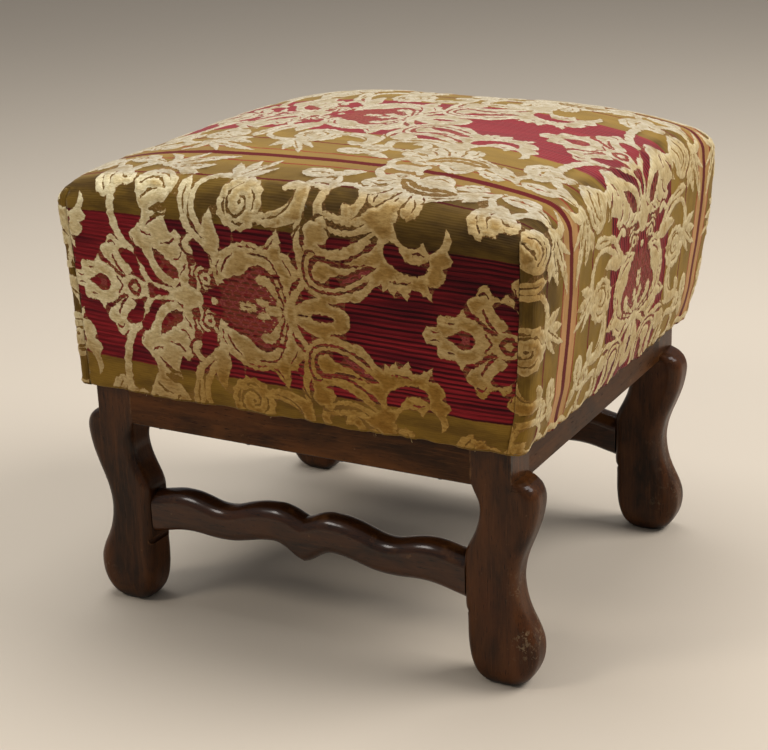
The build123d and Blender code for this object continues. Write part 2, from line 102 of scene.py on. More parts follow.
def shapes():
    S = []
    def add(poly, v=1.0): S.append((v, np.asarray(poly)))
    def cut(poly): S.append((0.0, np.asarray(poly)))
    def sym(half):
        """closed outline from its upper half, mirrored in the axis"""
        h = list(half)
        low = [(q[0], -q[1], *q[2:]) for q in h[::-1] if abs(q[1]) > 1e-6]
        return spline(h + low)

    # ---- olive band: scrolls and leaves (drawn first, the band's own figures lie over them)
    add(spline([(-140, 137), (-128, 147), (-110, 153), (-92, 159), (-68, 161, 1), (-90, 150), (-108, 143), (-124, 136)]))
    add(spline([(-138, 133), (-122, 136), (-104, 139), (-82, 141, 1), (-98, 131), (-118, 127)]))
    add(spline([(-134, 130), (-122, 126), (-112, 119), (-94, 122, 1), (-104, 129), (-118, 132)]))
    add(spline([(-146, 140), (-160, 151), (-180, 159), (-200, 158, 1), (-182, 148), (-162, 137)]))
    add(spline([(-142, 140), (-146, 152), (-156, 164, 1), (-138, 158), (-134, 146)]))
    add(spline([(-136, 142), (-126, 154), (-110, 166, 1), (-116, 154), (-126, 142)]))
    add(ell(-141, 138, 7, 6))
    cut(stroke([(-134, 140), (-118, 146), (-98, 153)], [1.5, 2.2, 1]))
    cut(stroke([(-150, 143), (-166, 149), (-182, 154)], [1.5, 2.2, 1]))
    cut(stroke([(-130, 132), (-114, 134), (-100, 136)], [1.2, 1.8, 1]))
    add(spline([(-172, 103, 1), (-179, 111), (-177, 119), (-172, 115.5), (-167, 119), (-164.5, 111)]))
    add(stroke([(-150, 140), (-165, 136), (-178, 123), (-185, 105), (-186, 88), (-184, 70), (-177, 52),
                (-167, 39), (-158, 27), (-150, 13), (-140, 4)], [5, 8, 9, 9, 9, 9, 9.5, 9, 7.5, 6, 5]))
    # two stems that carry the scroll over the heart
    add(spline([(-99, 118, 1), (-106, 109), (-105.5, 98), (-101, 86), (-98.5, 75), (-91, 64), (-80, 56.5), (-70, 47), (-63, 46), (-66, 54), (-76, 62), (-86, 70), (-91, 79), (-91.5, 92), (-92, 106)]))
    cut(stroke([(-99, 108), (-98.5, 96), (-95.5, 84)], [1.2, 2.2, 1.2]))
    add(stroke([(-46, 120), (-60, 121), (-74, 118), (-85, 109), (-88, 97), (-85, 83), (-78, 71), (-69, 61),
                (-62, 49), (-59.5, 37), (-60, 27), (-62, 19)], [9, 8, 7, 6, 6.5, 6.5, 7, 8, 12, 12, 8, 3]))
    add(spline([(-66, 90, 1), (-72.5, 81), (-74, 70), (-69, 61), (-60, 52), (-54.5, 58), (-58, 71), (-62, 81)]))
    add(stroke([(-86, 64), (-93, 58), (-96.5, 51), (-91.5, 47)], [4, 6.5, 8, 7.5]))
    # rosette and its hooked scroll
    add(ell(-33, 96, 24.5, 24, 0, 14, 0.10))
    cut(stroke([(-33 + (17.5 - 2.05 * i) * np.cos(t), 96 + (17.0 - 2.0 * i) * np.sin(t))
                for i, t in enumerate(np.radians([95, 150, 205, 262, 320, 385, 455]))], [1.2, 2.4, 2.8, 2.8, 2.6, 2.4, 1.4]))
    cut(stroke([(-22, 106), (-17, 100), (-16.5, 91)], [1.2, 2.4, 1.2]))
    cut(stroke([(-50, 99), (-50.5, 92), (-47, 85)], [1.4, 3.4, 1.4]))
    cut(stroke([(-39, 80), (-33, 78), (-26, 80)], [1.0, 2.2, 1.0]))
    cut(ell(-32, 96.5, 2.6, 2.0, 20))
    add(stroke([(-12, 86), (0, 84.5), (13, 87), (25, 93), (31, 103), (28, 113), (20, 116), (13, 112)], [9, 12, 15, 16, 14, 12, 11, 8]))
    cut(stroke([(2, 100), (9, 99), (15, 103)], [7, 5, 2]))
    cut(stroke([(-4, 85.5), (8, 87.5), (19, 94.5), (23.5, 104)], [0.9, 1.8, 2.0, 1.0]))
    # leaf fan over the rosette
    add(spline([(-51, 119), (-45, 129), (-35, 141), (-17, 160, 1), (-22, 145), (-31, 132), (-40, 121)]))
    add(spline([(-44, 119), (-34, 129), (-12, 141, 1), (-22, 128), (-34, 120)]))
    add(spline([(-52, 118), (-60, 131), (-61, 147, 1), (-51, 139), (-45, 126)]))
    add(spline([(-46, 126), (-48, 140), (-40, 153, 1), (-36, 141), (-39, 130)]))
    cut(stroke([(-44, 124), (-36, 135), (-26, 148)], [1.2, 2, 1]))
    # twin leaf, stem and hook
    add(spline([(13, 140), (23, 147.5), (36, 148.5), (46, 144), (56, 150.5), (74, 153, 1), (65, 143), (54, 136.5), (44, 134), (32, 130.5), (20, 132)]))
    add(spline([(31, 120), (35, 128.5), (46, 131), (56, 127), (60, 118), (54, 112.5), (43, 113.5)]))
    cut(stroke([(22, 139), (34, 140.5), (46, 138.5)], [1.2, 2, 1.2]))
    cut(stroke([(36, 121), (46, 121.5), (54, 119)], [1.2, 2.2, 1.2]))
    add(stroke([(51, 140), (56, 128), (54, 116), (50, 104), (51, 94), (57, 85)], [4, 6.5, 8, 8.5, 8.5, 8]))
    add(stroke([(54, 117), (64, 124), (76, 124.5), (86, 117.5), (89.5, 107), (84, 98), (76, 100)], [6, 5.5, 6, 7, 8.5, 9, 6.5]))
    add(spline([(26, 100), (23, 112), (30, 124, 1), (36, 112), (34, 100)]))
    # large acanthus with an open eye
    add(spline([(84, 140), (77, 134), (79, 127.5), (88, 127, 1), (82, 121), (84, 113), (95, 115, 1), (95, 108), (103, 104.5), (110, 110, 1), (112, 101), (121, 98.5), (128, 106, 1), (133, 98.5),
                (142, 98.5), (147, 106), (145, 114, 1), (153, 119), (165, 126), (179, 135), (193, 147), (201, 155, 1),
                (186, 151), (172, 145), (164, 141), (160, 147), (150, 151), (138, 153), (124, 153), (114, 157), (103, 157), (94, 151), (88, 147)]))
    cut(spline([(108, 147), (114, 135), (125, 127), (140, 125), (155, 128.5), (166, 137), (153, 141), (140, 139), (128, 141), (119, 147)]))
    add(stroke([(116, 142), (126, 134), (141, 131.5), (156, 135)], [1.2, 2.0, 2.0, 1.2]))
    for q in ([(104, 143), (97, 139), (90, 137.5)], [(106, 136), (99, 129.5), (90, 126.5)], [(111, 129.5), (106, 121), (97, 114.5)],
              [(120, 125), (117, 116), (111, 109)], [(131, 122.5), (131, 114), (128.5, 106)], [(142, 122), (144.5, 118), (145.5, 113)]):
        cut(stroke(q, [1.6, 2.4, 2.2]))
    cut(stroke([(86, 133), (94, 131), (101, 134)], [1.5, 2.6, 1.5]))
    add(stroke([(89, 147), (81.5, 155), (83, 165), (92, 172), (105, 173), (115, 169), (119, 161)], [9, 8, 7.5, 7, 8, 8.5, 6]))
    add(spline([(126, 152), (130, 161), (141, 166), (152, 161.5), (157, 150), (146, 146), (136, 147)]))
    add(spline([(160, 146), (166, 157), (179, 162), (189, 156), (177, 148)]))
    cut(stroke([(134, 153), (142, 158), (150, 155)], [1.2, 2.2, 1.2]))
    for q in ([(137, 116), (140, 109), (139, 103)], [(121, 114), (119.5, 108), (118, 103)], [(102, 116), (101, 111), (101, 107.5)],
              [(100, 152), (106, 150), (111, 152)], [(147, 122), (158, 126), (170, 132)], [(168, 153), (176, 156.5), (183, 155)]):
        cut(stroke(q, [1.0, 2.0, 1.0]))
    # three-lobed bud on a short stem
    add(stroke([(199, 154), (196, 143), (201, 133), (206, 125)], [5, 6, 8, 12]))
    add(spline([(191, 121), (189, 108), (196, 97), (207, 91.5), (216, 97.5), (223, 104), (233, 103.5), (236, 112), (227, 121), (219, 128), (212, 136), (202, 134), (197, 128)]))
    cut(stroke([(207, 122), (206, 112), (209, 104)], [1.5, 2.4, 1.2]))
    cut(stroke([(196, 113), (199.5, 105), (205, 98)], [1.0, 2.0, 1.0]))
    cut(stroke([(215, 118), (221, 112.5), (229, 110.5)], [1.0, 2.2, 1.0]))
    add(spline([(175, 127), (184, 132), (195, 143), (186, 141), (177, 136)]))
    add(spline([(202, 151), (214, 159), (229, 161), (238, 152), (229, 144), (214, 143)]))
    cut(stroke([(208, 151), (219, 153), (229, 151)], [1.2, 2.2, 1.2]))
    # ---- crimson band
    # big palmette lobes
    add(spline([(-116, 6.5), (-126, 10), (-137, 15.5), (-144.5, 24), (-149.5, 33), (-155, 42), (-162, 47), (-164, 56), (-157, 63.5), (-149, 71),
                (-147, 80), (-151, 90), (-158.5, 100), (-161, 112), (-153, 122), (-140, 126.5), (-128, 124.5), (-118, 118), (-111, 110), (-114, 100),
                (-119.5, 92), (-117, 84), (-119.5, 77), (-117.5, 69), (-113.5, 62), (-107.5, 66), (-101, 59.5), (-104.5, 49.5), (-97.5, 42.5),
                (-95, 34), (-99, 25), (-106, 15)]))
    cut(spline([(-138.5, 44, 1), (-131, 41.5), (-123, 35), (-113, 28.5), (-107, 22.8), (-108, 17.3), (-115, 15.6), (-124, 18.8), (-131.5, 26), (-136.5, 35)]))
    add(ell(-125.5, 29.5, 1.7, 1.7), .6); add(ell(-118.5, 23, 1.8, 1.8), .6); add(ell(-112.5, 21, 1.5, 1.5), .6); add(ell(-130, 34.5, 1.4, 1.4), .6)
    cut(stroke([(-156, 37.5), (-152, 31), (-146, 22.5), (-139, 14.5), (-130, 9), (-118, 5.2)], [11, 11, 8.5, 6.8, 5, 3]))
    add(stroke([(-114, 52), (-108, 42), (-102.5, 31), (-102, 19), (-102, 8)], [14, 15, 14.5, 12, 9]))
    cut(stroke([(-143, 66), (-135, 73.5), (-127, 78.5), (-119, 80.5)], [1.2, 4, 4.2, 2]))
    cut(spline([(-139, 83.5), (-131, 88.5), (-121, 91.5), (-115.5, 88.5), (-119, 84), (-128, 81.5)]))
    cut(stroke([(-154, 106), (-144, 112.5), (-132, 111), (-123, 103)], [1.2, 2.8, 2.8, 1.2]))
    cut(stroke([(-149, 93), (-142, 99.5), (-132, 101.5)], [1.2, 2.4, 1.2]))
    cut(stroke([(-170, 52), (-168.5, 46), (-166, 40)], [1.0, 1.8, 1.0]))
    cut(stroke([(-161, 52), (-160.5, 46), (-159, 41)], [1.0, 1.8, 1.0]))
    for q in ([(-109, 57), (-116, 51.5), (-126, 50)], [(-119, 110), (-129, 117.5), (-142, 119)], [(-150, 61), (-143, 57), (-136, 57.5)],
              [(-101, 46), (-105, 38), (-112, 35)], [(-98.5, 33), (-101, 26.5), (-106, 21)]):
        cut(stroke(q, [1.0, 2.0, 1.0]))
    # axis stem with its diamonds and slot
    add(sym([(-206, 12), (-196, 13), (-187, 11), (-179, 8), (-171, 12), (-161, 11), (-153, 7), (-146, 9.5), (-138, 8.5), (-128, 7), (-116, 6.5), (-105, 9.5),
             (-95, 11), (-86, 7), (-80, 2.5)]))
    cut(sym([(-174.5, 0, 1), (-168, 8), (-161.5, 7.5), (-157.5, 0, 1)]))
    add(sym([(-170.5, 0, 1), (-165.5, 4), (-160, 0, 1)]))
    cut(sym([(-148, 6.5), (-143, 6.8), (-139, 4), (-130, 3.2), (-118, 0, 1)]))
    add(sym([(-149, 0), (-146, 2.2), (-142, 0)]), .6)
    cut(stroke([(-188, 9), (-184, 4.5), (-181, 0)], [1.2, 1.8, 1.8])); cut(stroke([(-188, -9), (-184, -4.5), (-181, 0)], [1.2, 1.8, 1.8]))
    add(sym([(-122, 0, 1), (-112, 4), (-103, 8), (-96, 13.5, 1), (-91, 7.5), (-83, 10.5, 1), (-84, 4), (-76, 0, 1)]))
    # scroll rings at the throat
    add(stroke([(-86, 8), (-84, 15), (-87, 22), (-84, 29), (-77, 31)], [4, 3.4, 3.2, 3.4, 3]))
    add(ell(-75.5, 21, 6.5, 6, 0, 7, 0.2)); cut(ell(-75.5, 21, 2.8, 2.4))
    add(stroke([(-79, 14), (-75, 10), (-70, 12)], [3, 3, 2.5]))
    add(stroke([(-70, 27), (-66, 33), (-68, 40)], [3, 3.4, 2.5]))
    add(stroke([(-92, 22), (-90, 30), (-85, 35)], [2.6, 3, 2.2]))
    # three-flower sprig
    add(spline([(-204, 35), (-199, 40.5), (-195, 43), (-193.5, 49.5), (-186.5, 52), (-182, 47.5), (-178.5, 45.5), (-174, 48.5), (-167.5, 46.5), (-165, 39), (-162.5, 31),
                (-163.5, 22), (-168, 14), (-174.5, 11), (-182.5, 13.5), (-190, 19.5), (-199, 26)]))
    cut(spline([(-180, 37), (-172, 38.5), (-160, 33), (-156, 21), (-164, 16), (-171, 22), (-178, 29)]))
    cut(stroke([(-190, 31), (-186.5, 23), (-182, 16.5), (-175, 11)], [1.2, 2.4, 2.4, 1.2]))
    cut(stroke([(-193, 42), (-188, 44.5), (-184, 41)], [1.2, 2.0, 1.2]))
    add(sym([(-246.5, 0), (-241.5, 7.5), (-233, 8.5), (-231, 18.5), (-221, 19.5), (-214, 20.5), (-208.5, 28.5, 1), (-204, 21), (-195, 18.5), (-188, 10)]))
    cut(sym([(-226, 0, 1), (-217, 4), (-212, 7.5), (-205, 8.5), (-199, 5.5), (-196.5, 0)]))
    add(ell(-205.5, 0, 3.8, 3.6), .6)
    cut(stroke([(-238, 3.5), (-231, 4)], [1, 1.8])); cut(stroke([(-222, 13), (-216, 14)], [1.2, 1.8]))
    # heart (pomegranate) in its acanthus frame
    add(spline([(-62, 18, 1), (-65.5, 30), (-64, 42), (-57, 50), (-47, 55.5), (-36, 60.5), (-25, 63), (-15, 62.5), (-6, 60), (0, 64.5), (5, 71), (11, 77, 1),
                (14.2, 66), (14.5, 57), (23, 56.5, 1), (25, 48), (32, 42, 1), (29, 34), (23, 28), (21, 20), (20, 8), (20, -1), (-30, -1), (-60, -1)]))
    cut(sym([(-81, 0), (-77, 8), (-70, 12), (-62, 15.5), (-52, 21), (-41, 28), (-30, 31.5), (-21, 39), (-11, 42.5), (-2, 40), (4.5, 33), (9, 22), (13, 11), (15.5, 3)]))
    net = sym([(-62, 0, 1), (-56, 8), (-53, 15), (-47, 20), (-40, 24.5), (-30, 28), (-20, 35), (-11, 38.5), (-3, 36), (2, 30), (6, 20), (9.5, 9), (11, 0)])
    add(net, .6)
    row = 0
    for j in range(-7, 8):
        y = j * 5.6
        for i in range(-6, 3):
            x = i * 11.4 + (5.7 if j % 2 else 0) - 4
            lim = 37 - max(0, (-x - 12)) * .42
            if -60 < x < 10 and abs(y) < lim + 2:
                w = 5.0
                cut([(x - w, y), (x - w * .35, y + 2.1), (x + w * .5, y + 2.0), (x + w, y), (x + w * .35, y - 2.1), (x - w * .5, y - 2.0)])
    add(spline([(-15.5, 28.5, 1), (-8, 33.5), (0, 31.5), (5.5, 24.5), (10.5, 12), (14, 4), (9.5, 6), (4, 15), (-2, 21.5), (-9, 24)]))
    add(ell(-27, 0, 9.5, 4.2)); add(ell(-9.5, 7, 7, 3, -12)); add(ell(-9.5, -7, 7, 3, 12)); add(ell(3, 0, 9.5, 5))
    cut(stroke([(-31, 0), (-24, 0)], [1, 1.6]))
    add(ell(-67, 0, 4.2, 4.0))
    cut(stroke([(-55, 31.5), (-49, 42.5), (-40, 50.5)], [1.4, 2.4, 1.4]))
    cut(stroke([(-22, 52), (-9, 52.3), (1.5, 48.8), (8, 39.5), (12.5, 27.5), (15.5, 15.5), (18.5, 5)], [1.2, 2.2, 2.4, 2.4, 2.4, 2.2, 1.2]))
    for q in ([(-33, 57.5), (-22, 59), (-11, 57)], [(-4, 57.5), (2, 61), (7, 68)], [(17, 50), (21, 43), (25, 36)], [(-60, 26), (-60.5, 35), (-56, 43)]):
        cut(stroke(q, [0.9, 1.8, 0.9]))
    # stem beside the heart, pendant and its spoon
    add(stroke([(33, 112), (34, 98), (32, 84), (30.5, 71), (33.5, 56), (35.5, 43), (34, 32), (28.5, 22), (21, 9)], [7, 6, 6, 7, 8, 8.5, 8, 8, 9]))
    add(spline([(35, 30), (31, 40), (32.5, 52), (37, 62), (39, 72), (37, 81), (44, 87.5), (54, 88.5), (63, 85), (76, 83), (90, 85), (102, 91), (112, 98), (118, 88), (114, 77),
                (113, 66), (113, 56), (117, 48), (114, 41), (106, 35), (98, 26.5), (91, 20), (80, 20), (66, 15.5), (52, 18.5), (43, 22)]))
    cut(spline([(52, 68), (60, 64.5), (72, 66), (83, 70), (94, 76), (106, 85), (92, 80.5), (79, 78), (68, 79), (58.5, 84), (63, 77.5), (59.5, 71)]))
    cut(stroke([(49.5, 60), (44, 62), (39, 58), (36.5, 48), (38, 36.5), (44, 29), (56, 25.2), (72, 26.2), (90, 33.5), (103, 41), (114, 49)], [2, 2.4, 2.8, 3, 3, 3, 3, 3, 3, 2.6, 1.4]))
    cut(spline([(43, 53), (41.8, 45), (44, 37), (50, 31.6), (60, 30), (73, 31.8), (88, 38.8), (101, 46.5), (110, 54, 1), (100, 55.5), (88, 53.5), (76, 54.5), (66, 57.5), (56, 58.5), (47, 58)]))
    add(spline([(45.5, 44), (48, 37.5), (53.5, 34), (59.5, 36), (63, 40.5), (71, 42.5), (81, 45.5), (92, 50.5), (101, 55, 1), (88, 51.8), (78, 50), (68, 50), (58, 53), (50.5, 52.5)]))
    add(spline([(74, 35.5), (82, 37.5), (90, 41.5), (99, 47.5), (104, 51.5, 1), (94, 48.5), (86, 45), (79, 41)]), .6)
    cut(stroke([(84, 41), (91, 44)], [1.2, 1.8])); cut(stroke([(78, 38.5), (82, 41.5)], [1, 1.6]))
    cut(stroke([(54, 58.5), (64, 55.5), (75, 56), (85, 60), (95, 66), (103, 72.5), (109, 79)], [2.2, 3.6, 4.2, 4.8, 6, 8.5, 6]))
    add(stroke([(62, 58), (76, 60.5), (90, 66.5), (104, 76.5)], [4, 6.5, 6, 3]))
    cut(stroke([(27, 69), (31.5, 79.5), (40, 87), (50, 91.5), (61, 94)], [1.4, 2.2, 2.4, 2.4, 1.4]))
    add(stroke([(58, 94), (72, 91), (86, 90), (100, 95), (112, 103), (120, 108)], [5, 6, 6, 6.5, 7.5, 6]))
    add(stroke([(91, 90), (82, 91), (76, 95), (74, 101)], [5, 5, 4.5, 3]))
    add(spline([(93, 93), (96, 100), (103, 103.5), (111, 103), (115, 98), (110, 92), (101, 90)]))
    # flame leaf with its window
    add(spline([(90, 22), (98, 31), (107, 38), (114.5, 40), (115, 33.5, 1), (120, 37), (126.5, 30, 1), (131, 36), (139.5, 25.5, 1), (141.5, 37), (148, 39), (155, 35),
                (163.5, 30, 1), (161.5, 39), (160, 44.5), (166, 43.5), (174, 49), (176, 55.5), (172.5, 61), (180.5, 64), (181.5, 71.5), (177.5, 76.5), (181, 87),
                (174.5, 96, 1), (173.5, 86), (168.5, 78), (160.5, 73), (155, 82, 1), (149, 76.5), (141, 75), (134, 78), (128.5, 85), (126, 93), (128, 101), (121, 105), (115, 100),
                (112, 91), (113.5, 80), (111, 66), (110, 54), (104, 44), (96, 34)]))
    cut(spline([(116.5, 74), (123.5, 80, 1), (130.5, 75), (134.5, 66.5), (142, 62), (151, 62), (161, 66.5, 1), (159, 57.5), (151, 51.5), (139.5, 51.5), (127, 55.5), (119.5, 62.5), (117, 69)]))
    cut(stroke([(144, 70.5), (150, 71.5), (155, 70)], [1.2, 2.2, 1.2])); cut(stroke([(123, 44), (133, 43), (142, 45)], [1, 1.8, 1]))
    # node and trefoil tongue
    add(ell(21, 0, 8, 8.5))
    add(sym([(21, 5), (29, 9.5), (38, 15.5), (48, 19), (57, 17), (64, 12.8, 1), (71, 12.5), (77.5, 9), (81, 0)]))
    cut(sym([(40.5, 0, 1), (46, 3.4), (56, 3.4), (64, 2), (66.5, 0)]))
    cut(stroke([(27, 0), (38, 0)], [1, 1.6]))
    cut(stroke([(27.5, 12.5), (34, 18.5), (40.5, 25)], [2.4, 6.8, 2.6]))
    cut(stroke([(24, 24), (29, 29), (32, 35)], [1.4, 3.4, 1.6]))
    return S




# ------------------------------------------------------------------ one half repeat as a mesh
def value_at(pts, copies):
    """0 ground, 0.6 short pile, 1 full pile at each point; later outlines lie over earlier ones."""
    out = np.zeros(len(pts))
    for v, q, lo, hi in copies:
        m = np.where((pts[:, 0] >= lo[0]) & (pts[:, 0] <= hi[0]) & (pts[:, 1] >= lo[1]) & (pts[:, 1] <= hi[1]))[0]
        if not len(m):
            continue
        x, y = pts[m, 0][:, None], pts[m, 1][:, None]
        x0, y0 = q[:, 0], q[:, 1]
        x1, y1 = np.roll(x0, -1), np.roll(y0, -1)
        side = (x1 - x0) * (y - y0) - (x - x0) * (y1 - y0)
        wind = ((y0 <= y) & (y1 > y) & (side > 0)).sum(1).astype(int) - ((y0 > y) & (y1 <= y) & (side < 0)).sum(1)
        out[m[wind != 0]] = v
    return out


RING = 1.25                # width of the sloping edge of the pile, in drawing units


def ragged(p):
    """woven outlines are never quite smooth."""
    x, y = p.T
    dx = 0.58 * np.sin(1.31 * x + 0.77 * y + 0.3) + 0.48 * np.sin(-0.9 * x + 1.73 * y + 1.9) + 0.34 * np.sin(2.3 * x - 1.1 * y + 4.0)
    dy = 0.58 * np.sin(0.83 * x - 1.27 * y + 2.2) + 0.48 * np.sin(1.61 * x + 0.95 * y + 5.1) + 0.34 * np.sin(-1.2 * x - 2.2 * y + 0.9)
    return p + np.stack([dx, dy], 1)


def half_repeat():
    copies = []
    for v, p in shapes():
        p = ragged(p)
        for da in (-PA, 0.0, PA):
            for q in (p + (da, 0), p * (1, -1) + (da, 0), p * (1, -1) + (da, 2 * PB)):
                lo, hi = q.min(0), q.max(0)
                if hi[0] > -PA / 2 - 5 and lo[0] < PA / 2 + 5 and hi[1] > -5 and lo[1] < PB + 5:
                    copies.append((v, q, lo, hi))
    a = np.concatenate([q for _, q, _, _ in copies])
    b = np.concatenate([np.roll(q, -1, axis=0) for _, q, _, _ in copies])
    near = (np.maximum(a, b) > (-PA / 2 - 4, -4)).all(1) & (np.minimum(a, b) < (PA / 2 + 4, PB + 4)).all(1)
    a, b = a[near], b[near]
    d = b - a
    n = np.stack([-d[:, 1], d[:, 0]], 1) / (np.linalg.norm(d, axis=1)[:, None] + 1e-9)
    keep, up, most = np.zeros(len(a), bool), np.zeros(len(a)), np.zeros(len(a))
    for t in (0.12, 0.5, 0.88):
        c = a + d * t
        l, r = value_at(c + n * 0.3, copies), value_at(c - n * 0.3, copies)
        keep |= np.abs(l - r) > 0.1
        up = np.where(np.abs(l - r) > 0.1, np.sign(l - r), up)
        most = np.maximum(most, np.maximum(l, r))
    a, b, n, up, most = a[keep], b[keep], n[keep], up[keep], most[keep]
    line = np.concatenate([a + (b - a) * t for t in np.arange(0, 1, 0.25)])
    line_kind = np.tile(most, 4)
    tree = KDTree(len(line))
    for i, p in enumerate(line):
        tree.insert((p[0], p[1], 0), i)
    tree.balance()

    def off(pts):
        return np.array([tree.find((p[0], p[1], 0))[2] for p in pts])

    ring = (a + b) / 2 + n * up[:, None] * RING * 1.05
    ring = ring[off(ring) > RING * 0.86]
    cell, kept = set(), []
    for p in ring:
        c = (round(p[0] / 1.5), round(p[1] / 1.5))
        if c not in cell:
            cell.add(c)
            kept.append(p)
    gx, gy = np.meshgrid(np.arange(-PA / 2 + 3, PA / 2, 6.0), np.arange(3, PB, 5.4))
    gx = gx + np.where(np.arange(gx.shape[0]) % 2, 0.0, 1.5)[:, None]
    grid = np.stack([gx.ravel(), gy.ravel()], 1)
    grid = grid[off(grid) > 2.8]
    pts = [tuple(p) for p in a] + [tuple(p) for p in b]
    edges = [(i, i + len(a)) for i in range(len(a))]
    base = len(pts)
    nx, ny = 66, 30
    frame_line = ([(-PA / 2 + PA * i / nx, 0.0) for i in range(nx)] + [(PA / 2, PB * i / ny) for i in range(ny)]
                  + [(PA / 2 - PA * i / nx, PB) for i in range(nx)] + [(-PA / 2, PB - PB * i / ny) for i in range(ny)])
    pts += frame_line
    edges += [(base + i, base + (i + 1) % len(frame_line)) for i in range(len(frame_line))]
    inside = [p for p in kept if -PA / 2 + .5 < p[0] < PA / 2 - .5 and .5 < p[1] < PB - .5]
    pts += [tuple(p) for p in inside] + [tuple(p) for p in grid]
    v, _, f, _, _, _ = delaunay_2d_cdt([Vector(p) for p in pts], edges, [], 0, 1e-4)
    v, f = np.array([tuple(p) for p in v]), np.array([tuple(t) for t in f if len(t) == 3])
    mid = v[f].mean(1)
    area = np.cross(v[f[:, 1]] - v[f[:, 0]], v[f[:, 2]] - v[f[:, 0]])
    good = (np.abs(mid[:, 0]) < PA / 2) & (mid[:, 1] > 0) & (mid[:, 1] < PB) & (np.abs(area) > 1e-6)
    f, mid, area = f[good], mid[good], area[good]
    f[area < 0] = f[area < 0][:, ::-1]
    used, f = np.unique(f, return_inverse=True)
    v, f = v[used], f.reshape(-1, 3)
    val = value_at(mid, copies)
    top = np.zeros(len(v))
    np.maximum.at(top, f.ravel(), np.repeat(val, 3))
    low = np.ones(len(v))
    np.minimum.at(low, f.ravel(), np.repeat(val, 3))
    found = [tree.find((p[0], p[1], 0)) for p in v]
    far = np.array([q[2] for q in found])
    near_kind = np.array([line_kind[q[1]] for q in found])
    on = (far < 0.05) | (low < top)
    inside = ~on & (top > 0.3)
    dist = np.where(on, 0.0, np.where(inside, np.minimum(far, 14.0), -np.minimum(far, 6.0)))
    kind = np.where(inside, top, near_kind)
    rise = 1 - (1 - np.clip(dist / 1.7, 0, 1)) ** 2
    h = np.where(on, 0.36, np.where(inside, 0.36 + 0.64 * rise, 0.36 * np.exp(-(dist / 1.5) ** 2))) * np.where(kind > 0.8, 1.0, 0.5)
    return v, f, val, np.stack([h, dist, kind], 1)


# ------------------------------------------------------------------ the cover: cut from the cloth, mapped over the form
SCALE_A, SCALE_B = 0.975, 170.5 / 170.0     # the repeat is 390 along and 341 across
HALF = 170.5
AXIS = 18.0                                  # middle of the crimson band on the top
HX, HY, R = 249.3, 228.1, 22.0               # half sizes of the seat at the top edge, edge radius
ARC = R * math.pi / 2
EA, EB = HX - R + ARC / 2, HY - R + ARC / 2  # cloth coordinates of the top edges
BASE, BOTTOM = 457.4, 246.0
DROP = BASE - BOTTOM
SQ = 1.125                                   # the cloth is eased down the two short sides
SEAM_A, SEAM_B = 235.6, 232.0                # side cloth wraps the corner a little
BOT_A = HX - R + ARC + (DROP - R) * SQ
BOT_B = HY - R + ARC + (DROP - R)


def split(v, f, val, h, nrm, offv):
    """cuts every triangle that crosses a line in two or three."""
    d = v @ np.array(nrm, float) - offv
    d[np.abs(d) < 2e-3] = 0.0
    s = np.sign(d)
    fs = s[f]
    cross = (fs.max(1) > 0) & (fs.min(1) < 0)
    new, nh, cut_at, extra, ev = [], [], {}, [], []

    def point(i, j):
        key = (min(i, j), max(i, j))
        if key not in cut_at:
            t = d[i] / (d[i] - d[j])
            new.append(v[i] + (v[j] - v[i]) * t)
            nh.append(h[i] + (h[j] - h[i]) * t)
            cut_at[key] = len(v) + len(new) - 1
        return cut_at[key]

    for ti in np.where(cross)[0]:
        t = list(f[ti])
        if 0 in s[t]:
            while s[t[0]] != 0:
                t = t[1:] + t[:1]
            m = point(t[1], t[2])
            extra += [(t[0], t[1], m), (t[0], m, t[2])]
            ev += [val[ti]] * 2
        else:
            lone = 1 if (s[t] > 0).sum() == 1 else -1
            while s[t[0]] != lone:
                t = t[1:] + t[:1]
            m, n = point(t[0], t[1]), point(t[2], t[0])
            extra += [(t[0], m, n), (m, t[1], t[2]), (m, t[2], n)]
            ev += [val[ti]] * 3
    if extra:
        v, h = np.concatenate([v, new]), np.concatenate([h, nh])
        f, val = np.concatenate([f[~cross], extra]), np.concatenate([val[~cross], ev])
    return v, f, val, h


def weld(v, f, h, dist=0.03):
    key = np.round(v / dist).astype(np.int64)
    _, first, inv = np.unique(key, axis=0, return_index=True, return_inverse=True)
    f = inv.ravel()[f]
    ok = (f[:, 0] != f[:, 1]) & (f[:, 1] != f[:, 2]) & (f[:, 2] != f[:, 0])
    return v[first], f, h[first], ok


def in_cut(c):
    a, b = np.abs(c[:, 0]), np.abs(c[:, 1])
    return ((a < EA) & (b < EB)) | ((a < SEAM_A) & (b >= EB) & (b < BOT_B)) | ((b < SEAM_B) & (a >= EA) & (a < BOT_A))


